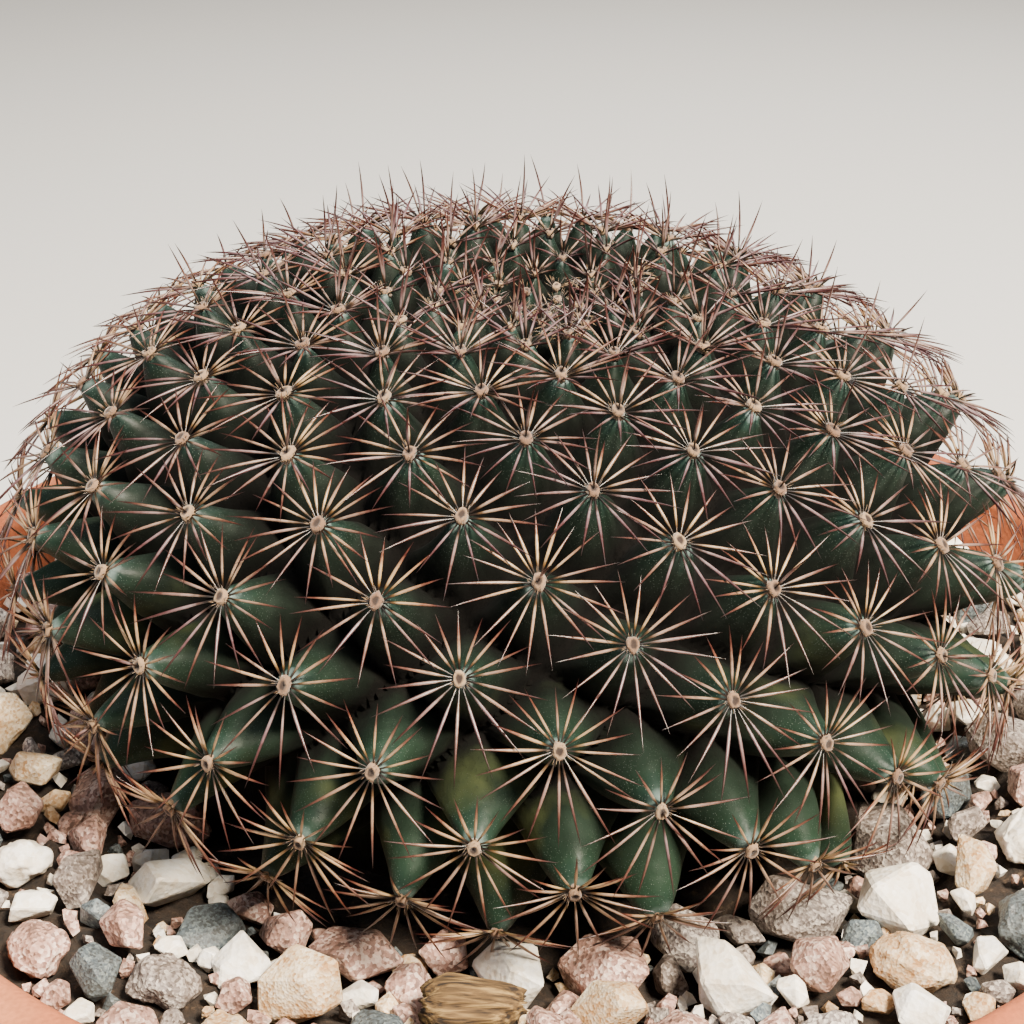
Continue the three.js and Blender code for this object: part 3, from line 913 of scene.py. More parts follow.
# --------------------------------------------------------------------------- the plant
@dataclass
class Stem:
    """The tubercled stem: one skin over the globe, sunk between the tubercles, with a woody neck below."""

    lattice: Lattice
    columns: int = 520
    step: float = 0.66 * MM  # between rings of the mesh
    last_polar: float = 2.2
    depth: float = 0.82  # of a cleft, as a share of the spacing
    corner_depth: float = 0.14  # added where three tubercles meet
    blunt: float = 0.12  # roundness of a tip
    flat_tip: float = 0.12  # share of the way to the cleft that the areole takes up
    neck: tuple[tuple[float, float], ...] = (
        (0.66, -0.38), (0.58, -0.41), (0.4, -0.6), (0.22, -0.84), (0.08, -0.95))

    def polar_steps(self) -> np.ndarray:
        """Polar angles that are evenly spaced along the globe's profile.

        Returns:
            Rising angles from the crown, one for each ring of the mesh.
        """
        fine = np.linspace(0.004, self.last_polar, 4000)
        line = self.lattice.globe(fine, np.zeros_like(fine))
        run = np.concatenate([[0], np.cumsum(np.linalg.norm(np.diff(line, axis=0), axis=1))])
        return np.interp(np.arange(self.step, run[-1], self.step), run, fine)

    def sink(self, points: np.ndarray, tips: np.ndarray, normals: np.ndarray, spacing: np.ndarray) -> tuple:
        """How far the skin lies under the globe at some points.

        Args:
            points: Places on the globe.
            tips: The tubercles' tips.
            normals: The tubercles' axes.
            spacing: Distance from each tip to its nearest neighbour.

        Returns:
            Depth, share of the way from tip to cleft, and number of the nearest tubercle.
        """
        offset = points[:, None, :] - tips[None, :, :]
        rise = np.einsum("pti,ti->pt", offset, normals)
        apart = np.sqrt(np.maximum(np.einsum("pti,pti->pt", offset, offset) - rise**2, 0) + 0.3 * rise**2)
        apart /= spacing[None, :]
        order = np.argpartition(apart, 1, axis=1)[:, :2]
        pair = np.take_along_axis(apart, order, axis=1)
        first = np.where(pair[:, 0] <= pair[:, 1], order[:, 0], order[:, 1])
        near, far = pair.min(1), pair.max(1)
        share = 2 * near / (near + far)
        slope = np.maximum(share - self.flat_tip, 0) / (1 - self.flat_tip)
        cone = (np.sqrt(slope**2 + self.blunt**2) - self.blunt) / (math.sqrt(1 + self.blunt**2) - self.blunt)
        corner = self.corner_depth * np.minimum(near, 0.8) ** 2 * 2
        depth = spacing[first] * (self.depth * cone**0.86 + corner)
        return depth, share, first

    def build(self) -> bpy.types.Object:
        """Makes the skin.

        Returns:
            The stem's object, with its fields for the finish.
        """
        shape = self.lattice
        pairs, _, tip_polar, tip_azimuth = shape.angles()
        tips = shape.globe(tip_polar, tip_azimuth)
        normals = shape.normals(tip_polar, tip_azimuth)
        spacing = np.array([np.sort(np.linalg.norm(tips - tip, axis=1))[1] for tip in tips])
        rng = np.random.default_rng(5)
        tone = rng.uniform(0, 1, len(tips))
        polar = self.polar_steps()
        azimuth = np.linspace(0, 2 * np.pi, self.columns, endpoint=False)
        rings, flank, age, tint = [], [], [], []
        for angle in polar:
            lay = np.full_like(azimuth, angle)
            points = shape.globe(lay, azimuth)
            drift = np.stack([ripple(points, 6 * MM, seed) for seed in (1, 2, 3)], axis=-1)
            warped = points + 0.35 * MM * drift
            depth, share, first = self.sink(warped, tips, normals, spacing)
            fold = 0.16 * MM * ripple(points, 2.2 * MM, 4) * share
            rings.append(points - shape.normals(lay, azimuth) * (depth + fold)[:, None])
            flank.append(share)
            age.append(pairs[first] / shape.last_pair)
            tint.append(tone[first])
        for share, height in self.neck:
            lay = np.stack([share * np.sin(azimuth), -share * np.cos(azimuth),
                            np.full_like(azimuth, height)], axis=-1)
            rings.append(lay * shape.radius)
            for values, value in ((flank, 1.0), (age, 1.0), (tint, 0.2)):
                values.append(np.full_like(azimuth, value))
        rows = len(rings)
        verts = np.concatenate([*rings, [rings[0].mean(0)], [rings[-1].mean(0)]])
        faces = [face[::-1] for face in ring_faces(rows, self.columns)]
        top, foot = rows * self.columns, rows * self.columns + 1
        last = (rows - 1) * self.columns
        for column in range(self.columns):
            right = (column + 1) % self.columns
            faces.append((top, column, right))
            faces.append((foot, last + right, last + column))
        fields = {"flank": np.append(np.concatenate(flank), [1.0, 1.0]),
                  "age": np.append(np.concatenate(age), [0.0, 1.0]),
                  "tint": np.append(np.concatenate(tint), [0.5, 0.2])}
        stem = mesh_object("stem_skin", verts, faces, fields)
        stem.data.transform(shape.frame())
        face_outwards(stem)
        return stem


def face_outwards(obj: bpy.types.Object) -> None:
    """Turns a closed mesh's faces outwards.

    Args:
        obj: The object, which is changed in place.
    """
    mesh = bmesh.new()
    mesh.from_mesh(obj.data)
    bmesh.ops.recalc_face_normals(mesh, faces=mesh.faces)
    mesh.to_mesh(obj.data)
    mesh.free()


@dataclass
class Spines:
    """The spines of every areole: a flat star of radials, and on young areoles one or two that stand up."""

    lattice: Lattice
    thickness: float = 0.142 * MM  # half the width of a spine where it is thickest
    side_length: float = 6.9 * MM
    length_swing: float = 1.3 * MM  # longer downwards, shorter upwards
    bow: float = 0.75 * MM
    rings: int = 8
    sides: int = 5
    first_pair: int = 7
    grown_pair: int = 24  # older areoles carry the full number
    grown_counts: tuple[int, ...] = (16, 17, 18, 19)
    young_counts: tuple[int, ...] = (7, 8, 9, 10)
    raised_pair: int = 44  # on younger areoles the radials rise
    paired_pair: int = 30  # younger areoles have two uprights
    upright_pair: int = 56  # and younger ones than this have one
    root_radius: float = 0.62 * MM  # of the ring that the radials stand on
    root_oval: float = 0.16 * MM  # added to it up and down the stem
    upright_length: float = 6.6 * MM
    short_upright: float = 4.2 * MM  # on the youngest and the oldest areoles
    budding_pair: int = 8  # areoles up to this one are the youngest

    def length(self, areole: Areole, angle: float) -> float:
        """Length of a radial spine at an angle from straight down."""
        grown = min(1.0, max(0.0, (areole.pair - 6) / 24))
        return (self.side_length + self.length_swing * math.cos(angle)) * (0.38 + 0.62 * grown)

    def tint(self, areole: Areole, rng: random.Random) -> float:
        """How mauve a spine is: straw on the old areoles, mauve and brown on the young."""
        age = areole.pair / self.lattice.last_pair
        return min(1.0, max(0.0, 1.05 - 0.72 * age + rng.uniform(-0.28, 0.28)))

    def star(self, areole: Areole, cloud: PointCloud, rng: random.Random) -> None:
        """Adds one areole's spines to a cloud.

        Args:
            areole: The areole that the spines grow from.
            cloud: Takes one copy for each spine.
            rng: The row's random numbers.
        """
        count = rng.choice(self.grown_counts if areole.pair > self.grown_pair else self.young_counts)
        base_rise = 15 + 38 * max(0.0, 1 - areole.pair / self.raised_pair)
        start = rng.uniform(0, 2 * math.pi)
        mood = rng.uniform(-0.16, 0.16)
        for number in range(count):
            angle = start + 2 * math.pi * (number + rng.uniform(-0.22, 0.22)) / count
            rise = math.radians(base_rise + rng.uniform(-6, 9))
            flat = areole.down * math.cos(angle) + areole.across * math.sin(angle)
            way = flat * math.cos(rise) + areole.normal * math.sin(rise)
            reach = self.length(areole, angle) * rng.uniform(0.86, 1.1)
            oval = self.root_radius + self.root_oval * abs(math.cos(angle))
            root = areole.point + areole.normal * 0.02 * MM + flat * oval * min(1.0, 0.5 + areole.pair / 60)
            width = rng.uniform(0.82, 1.12) * (0.7 + 0.3 * min(1.0, areole.pair / 24))
            turn = facing(way, flat * 0.3 * rng.uniform(-1, 1) - areole.normal)
            cloud.add(root, turn, (width, width, reach / self.side_length),
                      min(1, max(0, self.tint(areole, rng) + mood + 0.26 * math.cos(angle))))
        uprights = (2 if areole.pair < self.paired_pair
                    else 1 if areole.pair < self.upright_pair or rng.random() < 0.25 else 0)
        for _ in range(uprights):
            lean = areole.down * rng.uniform(-0.5, 0.15) + areole.across * rng.uniform(-0.35, 0.35)
            way = (areole.normal + lean).normalized()
            full = self.budding_pair < areole.pair < self.upright_pair
            reach = (self.upright_length if full else self.short_upright) * rng.uniform(0.8, 1.15)
            turn = facing(way, areole.across)
            cloud.add(areole.point + areole.normal * 0.4 * MM, turn, (0.95, 0.95, reach / self.side_length),
                      rng.uniform(0.8, 1.0))

    def build(self, tree: ShaftTree, material: bpy.types.Material) -> list[bpy.types.Object]:
        """Makes one piece for each spiral row, in place of that row's CAD node.

        Args:
            tree: Grows a spine on each point.
            material: The spines' finish.

        Returns:
            The pieces, in the order of the rows.
        """
        areoles = self.lattice.areoles()
        pieces = []
        for row in range(2 * self.lattice.step):
            rng = random.Random(900 + row)
            cloud = PointCloud()
            for areole in areoles:
                if areole.row == row and areole.pair >= self.first_pair:
                    self.star(areole, cloud, rng)
            name = f"spines_{row + 1:02d}"
            piece = tree.grow(cloud.mesh(name), {
                "Length": self.side_length, "Thickness": self.thickness, "Bow": self.bow, "Rings": self.rings,
                "Sides": self.sides, "Finish": material})
            pieces.append(dress(piece, None, "spines", f"spine_row_{row + 1:02d}"))
        return pieces


@dataclass
class AreoleFelt:
    """The small oval pad on each tubercle's tip, with a brown heart and a ring of short wool."""

    lattice: Lattice
    width: float = 0.58 * MM  # half the pad's width
    tall: float = 0.8 * MM
    lift: float = 0.62 * MM
    hairs: int = 15
    hair: float = 0.95 * MM
    hair_thickness: float = 0.04 * MM  # half a hair's width
    hair_bow: float = 0.25 * MM

    def pads(self) -> bpy.types.Object:
        """Makes all the pads as one mesh of small domes.

        Returns:
            One object, without a finish.
        """
        profile = ((1.0, -0.8, 1.0), (1.06, 0.3, 0.9), (0.82, 0.86, 0.8), (0.52, 0.78, 0.5))
        sides = 10
        verts, faces, along, tint = [], [], [], []
        rng = random.Random(77)
        for areole in self.lattice.areoles():
            grown = 0.62 + 0.38 * min(1.0, areole.pair / 30)
            tone, first = rng.uniform(0, 1), len(verts)
            for radius, rise, rim in profile:
                for side in range(sides):
                    angle = 2 * math.pi * side / sides
                    spread = (areole.down * math.cos(angle) * self.tall
                              + areole.across * math.sin(angle) * self.width)
                    wave = 1 + rng.uniform(-0.2, 0.2)
                    spot = (areole.point + spread * radius * wave * grown
                            + areole.normal * rise * self.lift * grown)
                    verts.append(spot)
                    along.append(rim)
                    tint.append(tone)
            verts.append(areole.point + areole.normal * 0.3 * self.lift)
            along.append(0.0)
            tint.append(tone)
            faces += [tuple(first + i for i in face) for face in ring_faces(len(profile), sides)]
            peak = len(verts) - 1
            top = first + (len(profile) - 1) * sides
            for side in range(sides):
                faces.append((top + side, peak, top + (side + 1) % sides))
            faces.append(tuple(first + side for side in range(sides)))
        fields = {"along": np.array(along), "tint": np.array(tint)}
        pads = mesh_object("areole_pads", np.array([tuple(v) for v in verts]), faces, fields)
        face_outwards(pads)
        return pads

    def fuzz(self, tree: ShaftTree, material: bpy.types.Material) -> bpy.types.Object:
        """Makes the short wool round each pad.

        Args:
            tree: Grows a hair on each point.
            material: The wool's finish.

        Returns:
            One object, with its finish.
        """
        rng = random.Random(78)
        cloud = PointCloud()
        for areole in self.lattice.areoles():
            young = 1 + 0.5 * max(0.0, 1 - areole.pair / 24)
            for _ in range(self.hairs):
                angle = rng.uniform(0, 2 * math.pi)
                flat = areole.down * math.cos(angle) + areole.across * math.sin(angle)
                way = flat + areole.normal * rng.uniform(0.2, 1.4)
                root = areole.point + flat * self.width * rng.uniform(0.55, 1.0) + areole.normal * 0.1 * MM
                cloud.add(root, facing(way, areole.normal), (1, 1, rng.uniform(0.6, 1.2) * young),
                          rng.uniform(0, 0.8))
        return tree.grow(cloud.mesh("areole_fuzz"), {
            "Length": self.hair, "Thickness": self.hair_thickness, "Bow": self.hair_bow, "Rings": 3,
            "Sides": 3,
            "Finish": material})

    def build(self, tree: ShaftTree, material: bpy.types.Material) -> None:
        """Makes and dresses the pads and their wool."""
        dress(self.pads(), material, "crown_wool")
        dress(self.fuzz(tree, material), None, "crown_wool")


@dataclass
class CrownWool:
    """White felt and loose tufts in the sunken crown, between the youngest tubercles."""

    lattice: Lattice
    reach: float = 13 * MM
    tufts: int = 10
    fibres: int = 230
    length: float = 1.7 * MM  # of a fibre
    thickness: float = 0.1 * MM  # half a fibre's width
    bow: float = 0.9 * MM
    sink: float = 0.6 * MM  # of a tuft's foot under the globe
    tuft_spread: float = 0.55 * MM
    tuft_height: float = 0.7 * MM

    def build(self, tree: ShaftTree, material: bpy.types.Material) -> bpy.types.Object:
        """Makes the wool in place of its CAD node.

        Args:
            tree: Grows a fibre on each point.
            material: The wool's finish.

        Returns:
            The dressed piece.
        """
        rng = random.Random(31)
        cloud = PointCloud()
        shape = self.lattice
        place, turn = shape.frame(), shape.frame().to_3x3()
        for _ in range(self.tufts):
            radius = self.reach * math.sqrt(rng.random())
            centre = rng.uniform(0, 2 * math.pi)
            polar = math.asin(min(1.0, radius / shape.radius) ** (1 / shape.upper_power))
            spot = shape.globe(np.array([polar]), np.array([centre]))[0] + [0, 0, -self.sink]
            for _ in range(self.fibres // self.tufts):
                jitter = Vector([rng.gauss(0, self.tuft_spread), rng.gauss(0, self.tuft_spread),
                                 rng.uniform(0, self.tuft_height)])
                way = Vector([rng.gauss(0, 1), rng.gauss(0, 1), abs(rng.gauss(0.2, 0.5))])
                cloud.add(place @ (Vector(spot) + jitter), facing(turn @ way, Vector((0.3, 0.2, -1))),
                          (1, 1, rng.uniform(0.5, 1.3)), rng.uniform(0, 0.3))
        wool = tree.grow(cloud.mesh("crown_tufts"), {
            "Length": self.length, "Thickness": self.thickness, "Bow": self.bow, "Rings": 5, "Sides": 3,
            "Finish": material})
        return dress(wool, None, "crown_wool", "crown_wool")


# --------------------------------------------------------------------------- the dressing
def angular_stone(rng: random.Random, corners: int, bevel: float) -> bmesh.types.BMesh:
    """A broken stone of unit radius: the hull of scattered points, with worn edges.

    Args:
        rng: Picks the points.
        corners: How many points.
        bevel: Width of the worn edges.

    Returns:
        A closed mesh, which the caller frees.
    """
    mesh = bmesh.new()
    for number in range(corners):
        z = 1 - 2 * (number + 0.5) / corners
        turn = 2.4 * number + rng.uniform(-0.6, 0.6)
        r = math.sqrt(1 - z * z)
        mesh.verts.new(Vector((r * math.cos(turn), r * math.sin(turn), z)) * rng.uniform(0.8, 1.0))
    hull = bmesh.ops.convex_hull(mesh, input=mesh.verts)
    loose = {v for v in hull["geom_interior"] + hull["geom_unused"] if isinstance(v, bmesh.types.BMVert)}
    bmesh.ops.delete(mesh, geom=list(loose), context="VERTS")
    if bevel:
        bmesh.ops.bevel(mesh, geom=mesh.edges[:], offset=bevel, segments=1, affect="EDGES", profile=0.5)
    bmesh.ops.recalc_face_normals(mesh, faces=mesh.faces)
    return mesh


@dataclass
class GravelBed:
    """Small gravel of five rocks, packed round the stem, on a ground of dark grit.

    Chips are dropped largest first where they clear those already there, so the small ones fill the gaps.
    """

    inner: float = 44 * MM
    shoulder: float = 57 * MM  # the bed is dished inside this radius
    dish: float = 51 * MM
    dish_drop: float = 4 * MM
    top: float = 92 * MM
    shapes: int = 9
    worn: float = 0.055  # width of a chip's worn edge, of its half length
    chip_room: float = 0.88  # a chip's mean half width, of its half length
    taper: float = 2.4 * MM  # how much narrower the bed is at its foot, where the pan's wall leans in
    wall_gap: float = 0.4 * MM  # between the ground and the pan
    ground_inner: float = 30 * MM
    ground_drop: float = 0.8 * MM  # of the ground under the bed's surface
    ground_columns: int = 240
    # layer, tries, smallest and largest half length, and the share of two half lengths that chips keep apart
    plan: tuple[tuple[int, int, float, float, float], ...] = (
        (2, 5200, 5.2 * MM, 7.4 * MM, 0.78), (2, 5200, 3.5 * MM, 5.0 * MM, 0.78),
        (1, 9000, 1.9 * MM, 3.3 * MM, 0.62), (0, 9000, 0.8 * MM, 1.7 * MM, 0.56))
    rises: tuple[float, float, float] = (0.05 * MM, 0.5 * MM, 1.1 * MM)  # of each layer over the ground
    mix: tuple[tuple[Rock, float], ...] = (
        (Rock.MARBLE, 0.36), (Rock.PINK_GRANITE, 0.3), (Rock.GREY_GRANITE, 0.14), (Rock.LIMESTONE, 0.12),
        (Rock.SLATE, 0.08))

    def surface(self, radius: float) -> float:
        """Height of the bed at a distance from the middle."""
        share = min(1.0, max(0.0, (self.shoulder - radius) / (self.shoulder - self.dish)))
        return self.top - self.dish_drop * share

    def outer(self) -> float:
        """Outside radius of the CAD bed."""
        low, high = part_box("grit_bed")
        return (high.x - low.x) / 2

    def ground(self, material: bpy.types.Material) -> bpy.types.Object:
        """Makes the dark ground that the chips lie on, a closed ring with a crumbly top.

        Args:
            material: The grit's finish.

        Returns:
            The dressed piece.
        """
        low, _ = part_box("grit_bed")
        outer = self.outer() - self.wall_gap
        columns = self.ground_columns
        angles = np.linspace(0, 2 * np.pi, columns, endpoint=False)
        outline = [(self.ground_inner, low.z), (outer - self.taper, low.z)]
        outline += [(r, self.surface(r) - self.ground_drop)
                    for r in np.linspace(outer, self.ground_inner, 60)]
        rings = []
        for r, z in outline:
            ring = np.stack([r * np.sin(angles), -r * np.cos(angles), np.full(columns, z)], axis=-1)
            if z > low.z:
                ring[:, 2] += 0.7 * MM * ripple(ring, 5 * MM, 11) + 0.35 * MM * ripple(ring, 1.6 * MM, 12)
            rings.append(ring)
        rings.append(rings[0])
        faces = ring_faces(len(rings), columns)
        ground = mesh_object("bed_ground", np.concatenate(rings), faces)
        weld(ground)
        return dress(ground, material, "grit", "grit_bed")

    def scatter(self) -> list[tuple[Vector, float, int]]:
        """Finds places for the chips.

        Returns:
            Centre, half length and layer of each chip: 0 for grit, 1 for small chips and 2 for large ones.
        """
        rng = random.Random(2024)
        outer = self.outer()
        taken: list[tuple[float, float, float]] = []
        fixed: list[tuple[float, float, float]] = []  # the loose stones and the bark, kept whole
        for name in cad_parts:
            if name.startswith("stone_") or name == "bark_chip":
                low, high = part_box(name)
                half = (high.x - low.x + high.y - low.y) / 4
                fixed.append(((low.x + high.x) / 2, (low.y + high.y) / 2, half))
        found = []
        for layer, tries, small, large, clear in self.plan:
            for _ in range(tries):
                half = rng.uniform(small, large)
                limit = outer - 0.86 * half
                radius = math.sqrt(rng.uniform(self.inner**2, limit**2))
                angle = rng.uniform(0, 2 * math.pi)
                x, y = radius * math.sin(angle), -radius * math.cos(angle)
                if any((x - a) ** 2 + (y - b) ** 2 < (clear * (half + c)) ** 2 for a, b, c in taken):
                    continue
                if any((x - a) ** 2 + (y - b) ** 2 < (self.chip_room * half + c) ** 2 for a, b, c in fixed):
                    continue
                taken.append((x, y, half))
                rise = self.rises[layer]
                found.append((Vector((x, y, self.surface(radius) + rise + 0.26 * half)), half, layer))
        return found

    def build(self, tree: ChipTree, finishes: dict[Rock, bpy.types.Material]) -> list[bpy.types.Object]:
        """Makes one piece of gravel for each rock.

        Args:
            tree: Puts a chip shape on each point.
            finishes: The finish of each rock.

        Returns:
            The pieces, in the order of the rocks.
        """
        shapes = []
        for number in range(self.shapes):
            rng = random.Random(300 + number)
            stone = angular_stone(rng, 11 if number < 7 else 8, self.worn if number < 7 else 0.0)
            obj = mesh_object(f"chip_shape_{number}", np.zeros((0, 3)), [], smooth=False)
            stone.to_mesh(obj.data)
            stone.free()
            shapes.append(obj)
        rng = random.Random(88)
        clouds = {rock: PointCloud() for rock in Rock}
        rocks, shares = zip(*self.mix)
        for place, half, layer in self.scatter():
            rock = rng.choices(rocks, shares)[0]
            tilt = 0.32 if layer else 1.5
            turn = Euler((rng.gauss(0, tilt), rng.gauss(0, tilt), rng.uniform(0, 6.28)))
            size = (half, half * rng.uniform(0.66, 0.92), half * rng.uniform(0.5, 0.76))
            pick = rng.randrange(7) if layer else rng.choice((7, 8))
            clouds[rock].add(place, turn, size, rng.uniform(0, 1), pick)
        values = {f"Shape {number}": shape for number, shape in enumerate(shapes)}
        pieces = []
        for rock, cloud in clouds.items():
            gravel = tree.scatter(cloud.mesh(f"gravel_{rock.value}"), {**values, "Finish": finishes[rock]})
            pieces.append(dress(gravel, None, rock.value))
        for shape in shapes:
            bpy.data.objects.remove(shape)
        return pieces


def weld(obj: bpy.types.Object) -> None:
    """Merges an object's doubled points and turns its faces outwards.

    Args:
        obj: The object, which is changed in place.
    """
    mesh = bmesh.new()
    mesh.from_mesh(obj.data)
    bmesh.ops.remove_doubles(mesh, verts=mesh.verts, dist=1e-6)
    bmesh.ops.recalc_face_normals(mesh, faces=mesh.faces)
    mesh.to_mesh(obj.data)
    mesh.free()


@dataclass
class LooseStones:
    """The larger loose stones: each keeps its CAD place and form, with worn edges and a broken surface."""

    wear: float = 0.5 * MM
    rough: float = 0.22 * MM

    def build(self, finishes: dict[Rock, bpy.types.Material]) -> list[bpy.types.Object]:
        """Makes one piece for each CAD stone.

        Args:
            finishes: The finish of each rock.

        Returns:
            The pieces, in the order of the CAD nodes' names.
        """
        kinds = [Rock.MARBLE, Rock.PINK_GRANITE, Rock.GREY_GRANITE, Rock.LIMESTONE, Rock.SLATE]
        pieces = []
        for name in sorted(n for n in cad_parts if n.startswith("stone_")):
            number = int(name.rsplit("_", 1)[1]) - 1
            mesh = bmesh.new()
            mesh.from_mesh(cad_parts[name].data)
            bmesh.ops.remove_doubles(mesh, verts=mesh.verts, dist=1e-6)
            bmesh.ops.bevel(mesh, geom=mesh.edges[:], offset=self.wear, segments=2, affect="EDGES",
                            profile=0.6)
            bmesh.ops.triangulate(mesh, faces=mesh.faces[:])
            bmesh.ops.subdivide_edges(mesh, edges=mesh.edges[:], cuts=2, use_grid_fill=True)
            spots = np.array([v.co for v in mesh.verts])
            lift = self.rough * (ripple(spots, 2.4 * MM, number) + 0.5 * ripple(spots, 1.0 * MM, number + 50))
            for vert, push in zip(mesh.verts, lift):
                vert.co += vert.normal * (push - 0.1 * MM)
            bmesh.ops.recalc_face_normals(mesh, faces=mesh.faces)
            rock = kinds[number % len(kinds)]
            stone = mesh_object(f"loose_{name}", np.zeros((0, 3)), [])
            mesh.to_mesh(stone.data)
            mesh.free()
            tint = np.full(len(stone.data.vertices), random.Random(number).uniform(0.3, 1.0))
            stone.data.attributes.new("tint", "FLOAT", "POINT").data.foreach_set("value", tint)
            stone.data.shade_smooth()
            pieces.append(dress(stone, finishes[rock], rock.value, name))
        return pieces


@dataclass
class BarkChip:
    """A splintered chip of bark in front of the plant, with fibres along its length."""

    rings: int = 40
    sides: int = 44
    ridges: float = 0.3 * MM

    def build(self, material: bpy.types.Material) -> bpy.types.Object:
        """Makes the chip in place of its CAD node.

        Args:
            material: The bark's finish.

        Returns:
            The dressed piece.
        """
        low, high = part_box("bark_chip")
        centre, half = (low + high) / 2, (high - low) / 2
        rng = np.random.default_rng(9)
        angles = np.linspace(0, 2 * np.pi, self.sides, endpoint=False)
        ragged = rng.uniform(0, 1, self.sides)
        rings = []
        for share in np.linspace(-1, 1, self.rings):
            body = (1 - 0.5 * abs(share) ** 5) * (1 - 0.18 * share)
            y = half.y * 0.92 * body * np.sign(np.cos(angles)) * np.abs(np.cos(angles)) ** 0.7
            z = half.z * 0.9 * body * np.sign(np.sin(angles)) * np.abs(np.sin(angles)) ** 0.7
            torn = np.sign(share) * abs(share) ** 8 * ragged * 0.9 * MM
            x = np.full(self.sides, share * half.x * 0.88) + torn
            ring = np.stack([x, y, z], axis=-1)
            groove = ripple(ring * [0.12, 1, 1], 1.1 * MM, 21) * self.ridges
            out = np.stack([np.zeros(self.sides), np.cos(angles), np.sin(angles)], axis=-1)
            rings.append(ring + out * groove[:, None])
        count = self.rings * self.sides
        ends = [[rings[0][:, 0].mean() + 0.5 * MM, 0, 0], [rings[-1][:, 0].mean() - 0.5 * MM, 0, 0]]
        verts = np.concatenate([*rings, ends]) + np.array(centre)
        faces = ring_faces(self.rings, self.sides)
        last = (self.rings - 1) * self.sides
        for side in range(self.sides):
            right = (side + 1) % self.sides
            faces += [(count, side, right), (count + 1, last + right, last + side)]
        chip = mesh_object("bark_splinter", verts, faces)
        face_outwards(chip)
        return dress(chip, material, "bark", "bark_chip")


# --------------------------------------------------------------------------- the pan and the soil
@dataclass
class Pan:
    """The terracotta pan: a thrown body with a collar, a soft rounded rim and a drain hole."""

    height: float = 100 * MM
    rim: float = 80 * MM
    rim_wall: float = 6.5 * MM
    band: float = 24 * MM
    neck: float = 75.5 * MM
    base: float = 56 * MM
    wall: float = 6 * MM
    floor: float = 8 * MM
    drain: float = 8 * MM
    edge: float = 2 * MM
    inner_edge: float = 0.8 * MM  # rounding of the corner inside, small enough to clear the soil
    columns: int = 256

    def corner(self, x: float, z: float, radius: float, start: float,
               end: float) -> list[tuple[float, float]]:
        """Points round a quarter or so of a circle in the outline."""
        turns = np.radians(np.linspace(start, end, 7))
        return [(x + radius * math.cos(t), z + radius * math.sin(t)) for t in turns]

    def outline(self) -> list[tuple[float, float]]:
        """The closed section of the wall, from the drain hole out, up and back down inside.

        Returns:
            The radius and height of each point.
        """
        e, collar = self.edge, self.height - self.band
        inner, bottom = self.rim - self.rim_wall, self.base - self.wall
        line = [(self.drain + 0.6 * MM, 0.0), *self.corner(self.base - e, e, e, -90, -12)]
        slope = (self.neck - self.base) / (collar - 2 * e)
        for share in np.linspace(0.06, 1, 26):
            z = e + share * (collar - 2 * e)
            line.append((self.base + slope * (z - e) - 0.2 * MM + 0.16 * MM * math.sin(z / (1.9 * MM)), z))
        line += self.corner(self.rim - e, collar + e, e, -78, 0)
        line += [(self.rim, collar + share * (self.band - e)) for share in (0.3, 0.55, 0.8)]
        line += self.corner(self.rim - e * 1.3, self.height - e * 1.3, e * 1.3, 0, 90)
        line += self.corner(inner + e, self.height - e, e, 90, 180)
        for share in np.linspace(0.94, 0.04, 18):
            line.append((bottom + (inner - bottom) * share, self.floor + (self.height - self.floor) * share))
        line += self.corner(bottom - self.inner_edge, self.floor + self.inner_edge, self.inner_edge, 0, -90)
        bevel = 0.6 * MM  # of the drain hole's edges
        line += [(self.drain + bevel, self.floor), (self.drain, self.floor - bevel), (self.drain, bevel)]
        return line

    def build(self, material: bpy.types.Material) -> bpy.types.Object:
        """Makes the pan in place of its CAD node.

        Args:
            material: The pan's finish.

        Returns:
            The dressed piece.
        """
        angles = np.linspace(0, 2 * np.pi, self.columns, endpoint=False)
        rings = []
        for r, z in self.outline():
            ring = np.stack([r * np.sin(angles), -r * np.cos(angles), np.full(self.columns, z)], axis=-1)
            if r > self.base and z < self.height - self.edge:
                ring[:, :2] *= (1 + 0.0004 * ripple(ring, 40 * MM, 61))[:, None]
            rings.append(ring)
        faces = ring_faces(len(rings) + 1, self.columns)
        faces = [tuple(i % (len(rings) * self.columns) for i in face) for face in faces]
        pan = mesh_object("terracotta_pan", np.concatenate(rings), faces)
        face_outwards(pan)
        return dress(pan, material, "terracotta", "pot")


def dress_soil(material: bpy.types.Material) -> None:
    """Gives the CAD soil its finish. Only the drain hole shows it.

    Args:
        material: The soil's finish.
    """
    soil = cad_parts["soil"]
    soil.data.materials.clear()
    soil.data.materials.append(material)
    LOG.info("soil: CAD node with its finish")


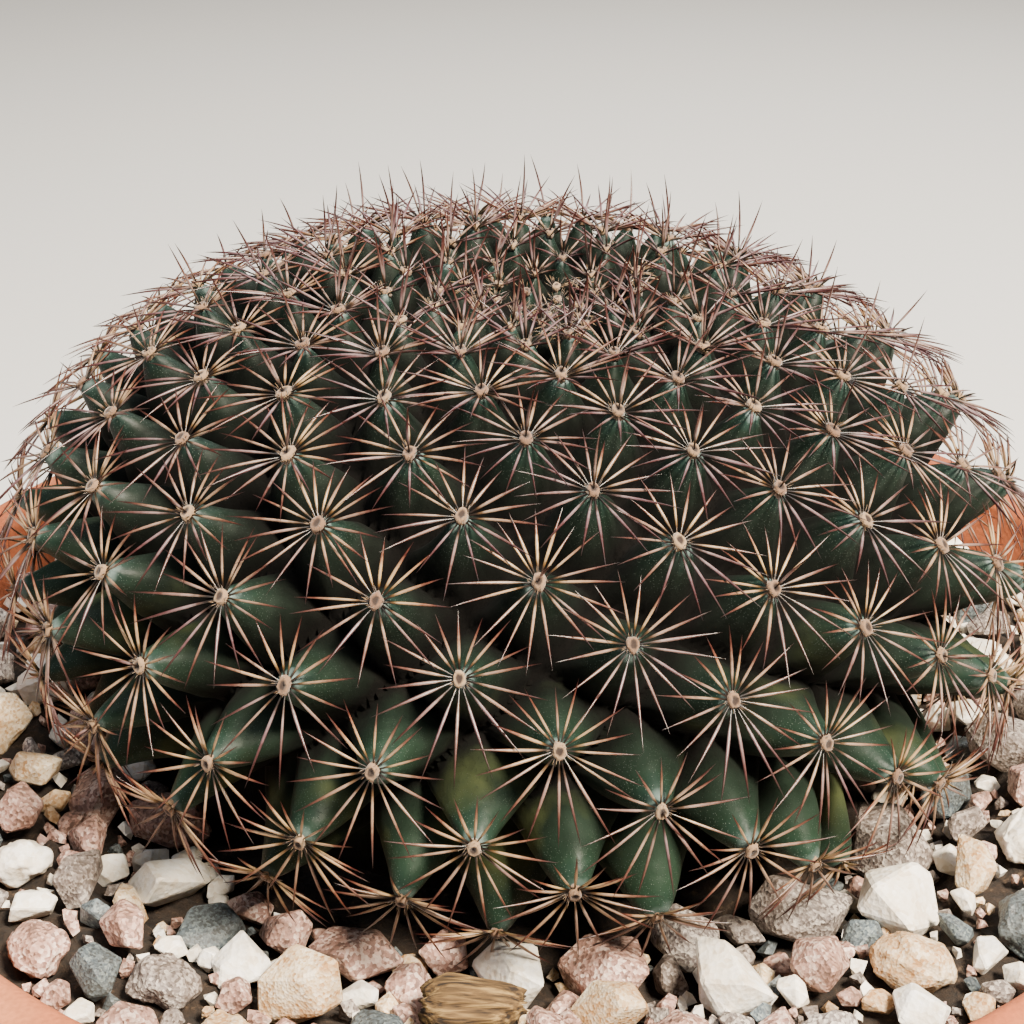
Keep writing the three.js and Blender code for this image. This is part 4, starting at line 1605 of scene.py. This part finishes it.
# --------------------------------------------------------------------------- the studio
@dataclass
class Studio:
    """A pale paper floor, soft lights and the camera."""

    target: Vector = field(default_factory=lambda: Vector((0, 0, 113 * MM)))
    distance: float = 3.682 * 56 * MM
    elevation: float = math.radians(28)
    lens: float = 63.4
    aim_left: float = math.radians(0.37)
    aim_up: float = math.radians(0.91)
    floor: float = 3.0

    def light(self, name: str, azimuth: float, elevation: float, distance: float, size: float, power: float,
              colour: str) -> None:
        """Adds a soft square light that faces the plant.

        Args:
            name: The light's name.
            azimuth: Degrees from the front towards +X.
            elevation: Degrees above the floor.
            distance: From the plant.
            size: Side of the square.
            power: Watts.
            colour: sRGB hex.
        """
        data = bpy.data.lights.new(name, "AREA")
        data.size = size
        data.energy = power
        data.color = linear(colour)[:3]
        lamp = bpy.data.objects.new(name, data)
        a, e = math.radians(azimuth), math.radians(elevation)
        way = Vector((math.sin(a) * math.cos(e), -math.cos(a) * math.cos(e), math.sin(e)))
        turn = way.to_track_quat("Z", "Y").to_matrix().to_4x4()
        lamp.matrix_world = Matrix.Translation(self.target + way * distance) @ turn
        bpy.context.scene.collection.objects.link(lamp)

    def camera(self) -> None:
        """Adds the camera, level, in front of the plant and above it."""
        data = bpy.data.cameras.new("camera")
        data.lens = self.lens
        data.sensor_width = 36
        data.clip_start = 0.01
        camera = bpy.data.objects.new("camera", data)
        away = Vector((0, -math.cos(self.elevation), math.sin(self.elevation)))
        turn = (Matrix.Rotation(self.aim_left, 4, "Z")
                @ Matrix.Rotation(math.pi / 2 - self.elevation + self.aim_up, 4, "X"))
        camera.matrix_world = Matrix.Translation(self.target + away * self.distance) @ turn
        bpy.context.scene.collection.objects.link(camera)
        bpy.context.scene.camera = camera

    def build(self) -> None:
        """Makes the floor, the lights, the sky light and the camera."""
        half = self.floor / 2
        verts = np.array([(-half, -half, 0), (half, -half, 0), (half, half, 0), (-half, half, 0)])
        floor = mesh_object("paper_floor", verts, [(0, 1, 2, 3)])
        floor.data.materials.append(StudioPaper().material())
        self.light("key", 40, 52, 0.75, 0.14, 30, "#fff1dc")
        self.light("fill", -60, 30, 0.9, 0.6, 1.5, "#e4edff")
        self.light("top", 20, 84, 0.8, 0.5, 5, "#ffffff")
        self.light("rim", 160, 40, 0.9, 0.5, 5, "#ffffff")
        world = bpy.data.worlds.new("soft_sky")
        world.use_nodes = True
        world.node_tree.nodes.clear()
        sky = add_node(world.node_tree, "ShaderNodeBackground",
                       {"Color": linear("#eef1f4"), "Strength": 0.12})
        add_node(world.node_tree, "ShaderNodeOutputWorld", {"Surface": sky})
        bpy.context.scene.world = world
        self.camera()


# --------------------------------------------------------------------------- assembly
def main() -> None:
    """Builds every piece in order."""
    logging.basicConfig(level=logging.INFO, format="%(name)s: %(message)s")
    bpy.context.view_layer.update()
    studio = Studio()
    studio.build()
    lattice = Lattice()
    shafts = ShaftTree()
    wool = PlantWool().material()
    dress(Stem(lattice).build(), StemSkin().material(), "stem_flesh", "stem")
    Spines(lattice).build(shafts, SpineHorn().material())
    AreoleFelt(lattice).build(shafts, wool)
    CrownWool(lattice).build(shafts, wool)
    finishes = {rock: finish.material() for rock, finish in ROCKS.items()}
    soil = PottingSoil().material()
    bed = GravelBed()
    bed.ground(soil)
    bed.build(ChipTree(bed.shapes), finishes)
    LooseStones().build(finishes)
    BarkChip().build(BarkFibre().material())
    Pan().build(Terracotta().material())
    dress_soil(soil)


if __name__ == "__main__":
    main()
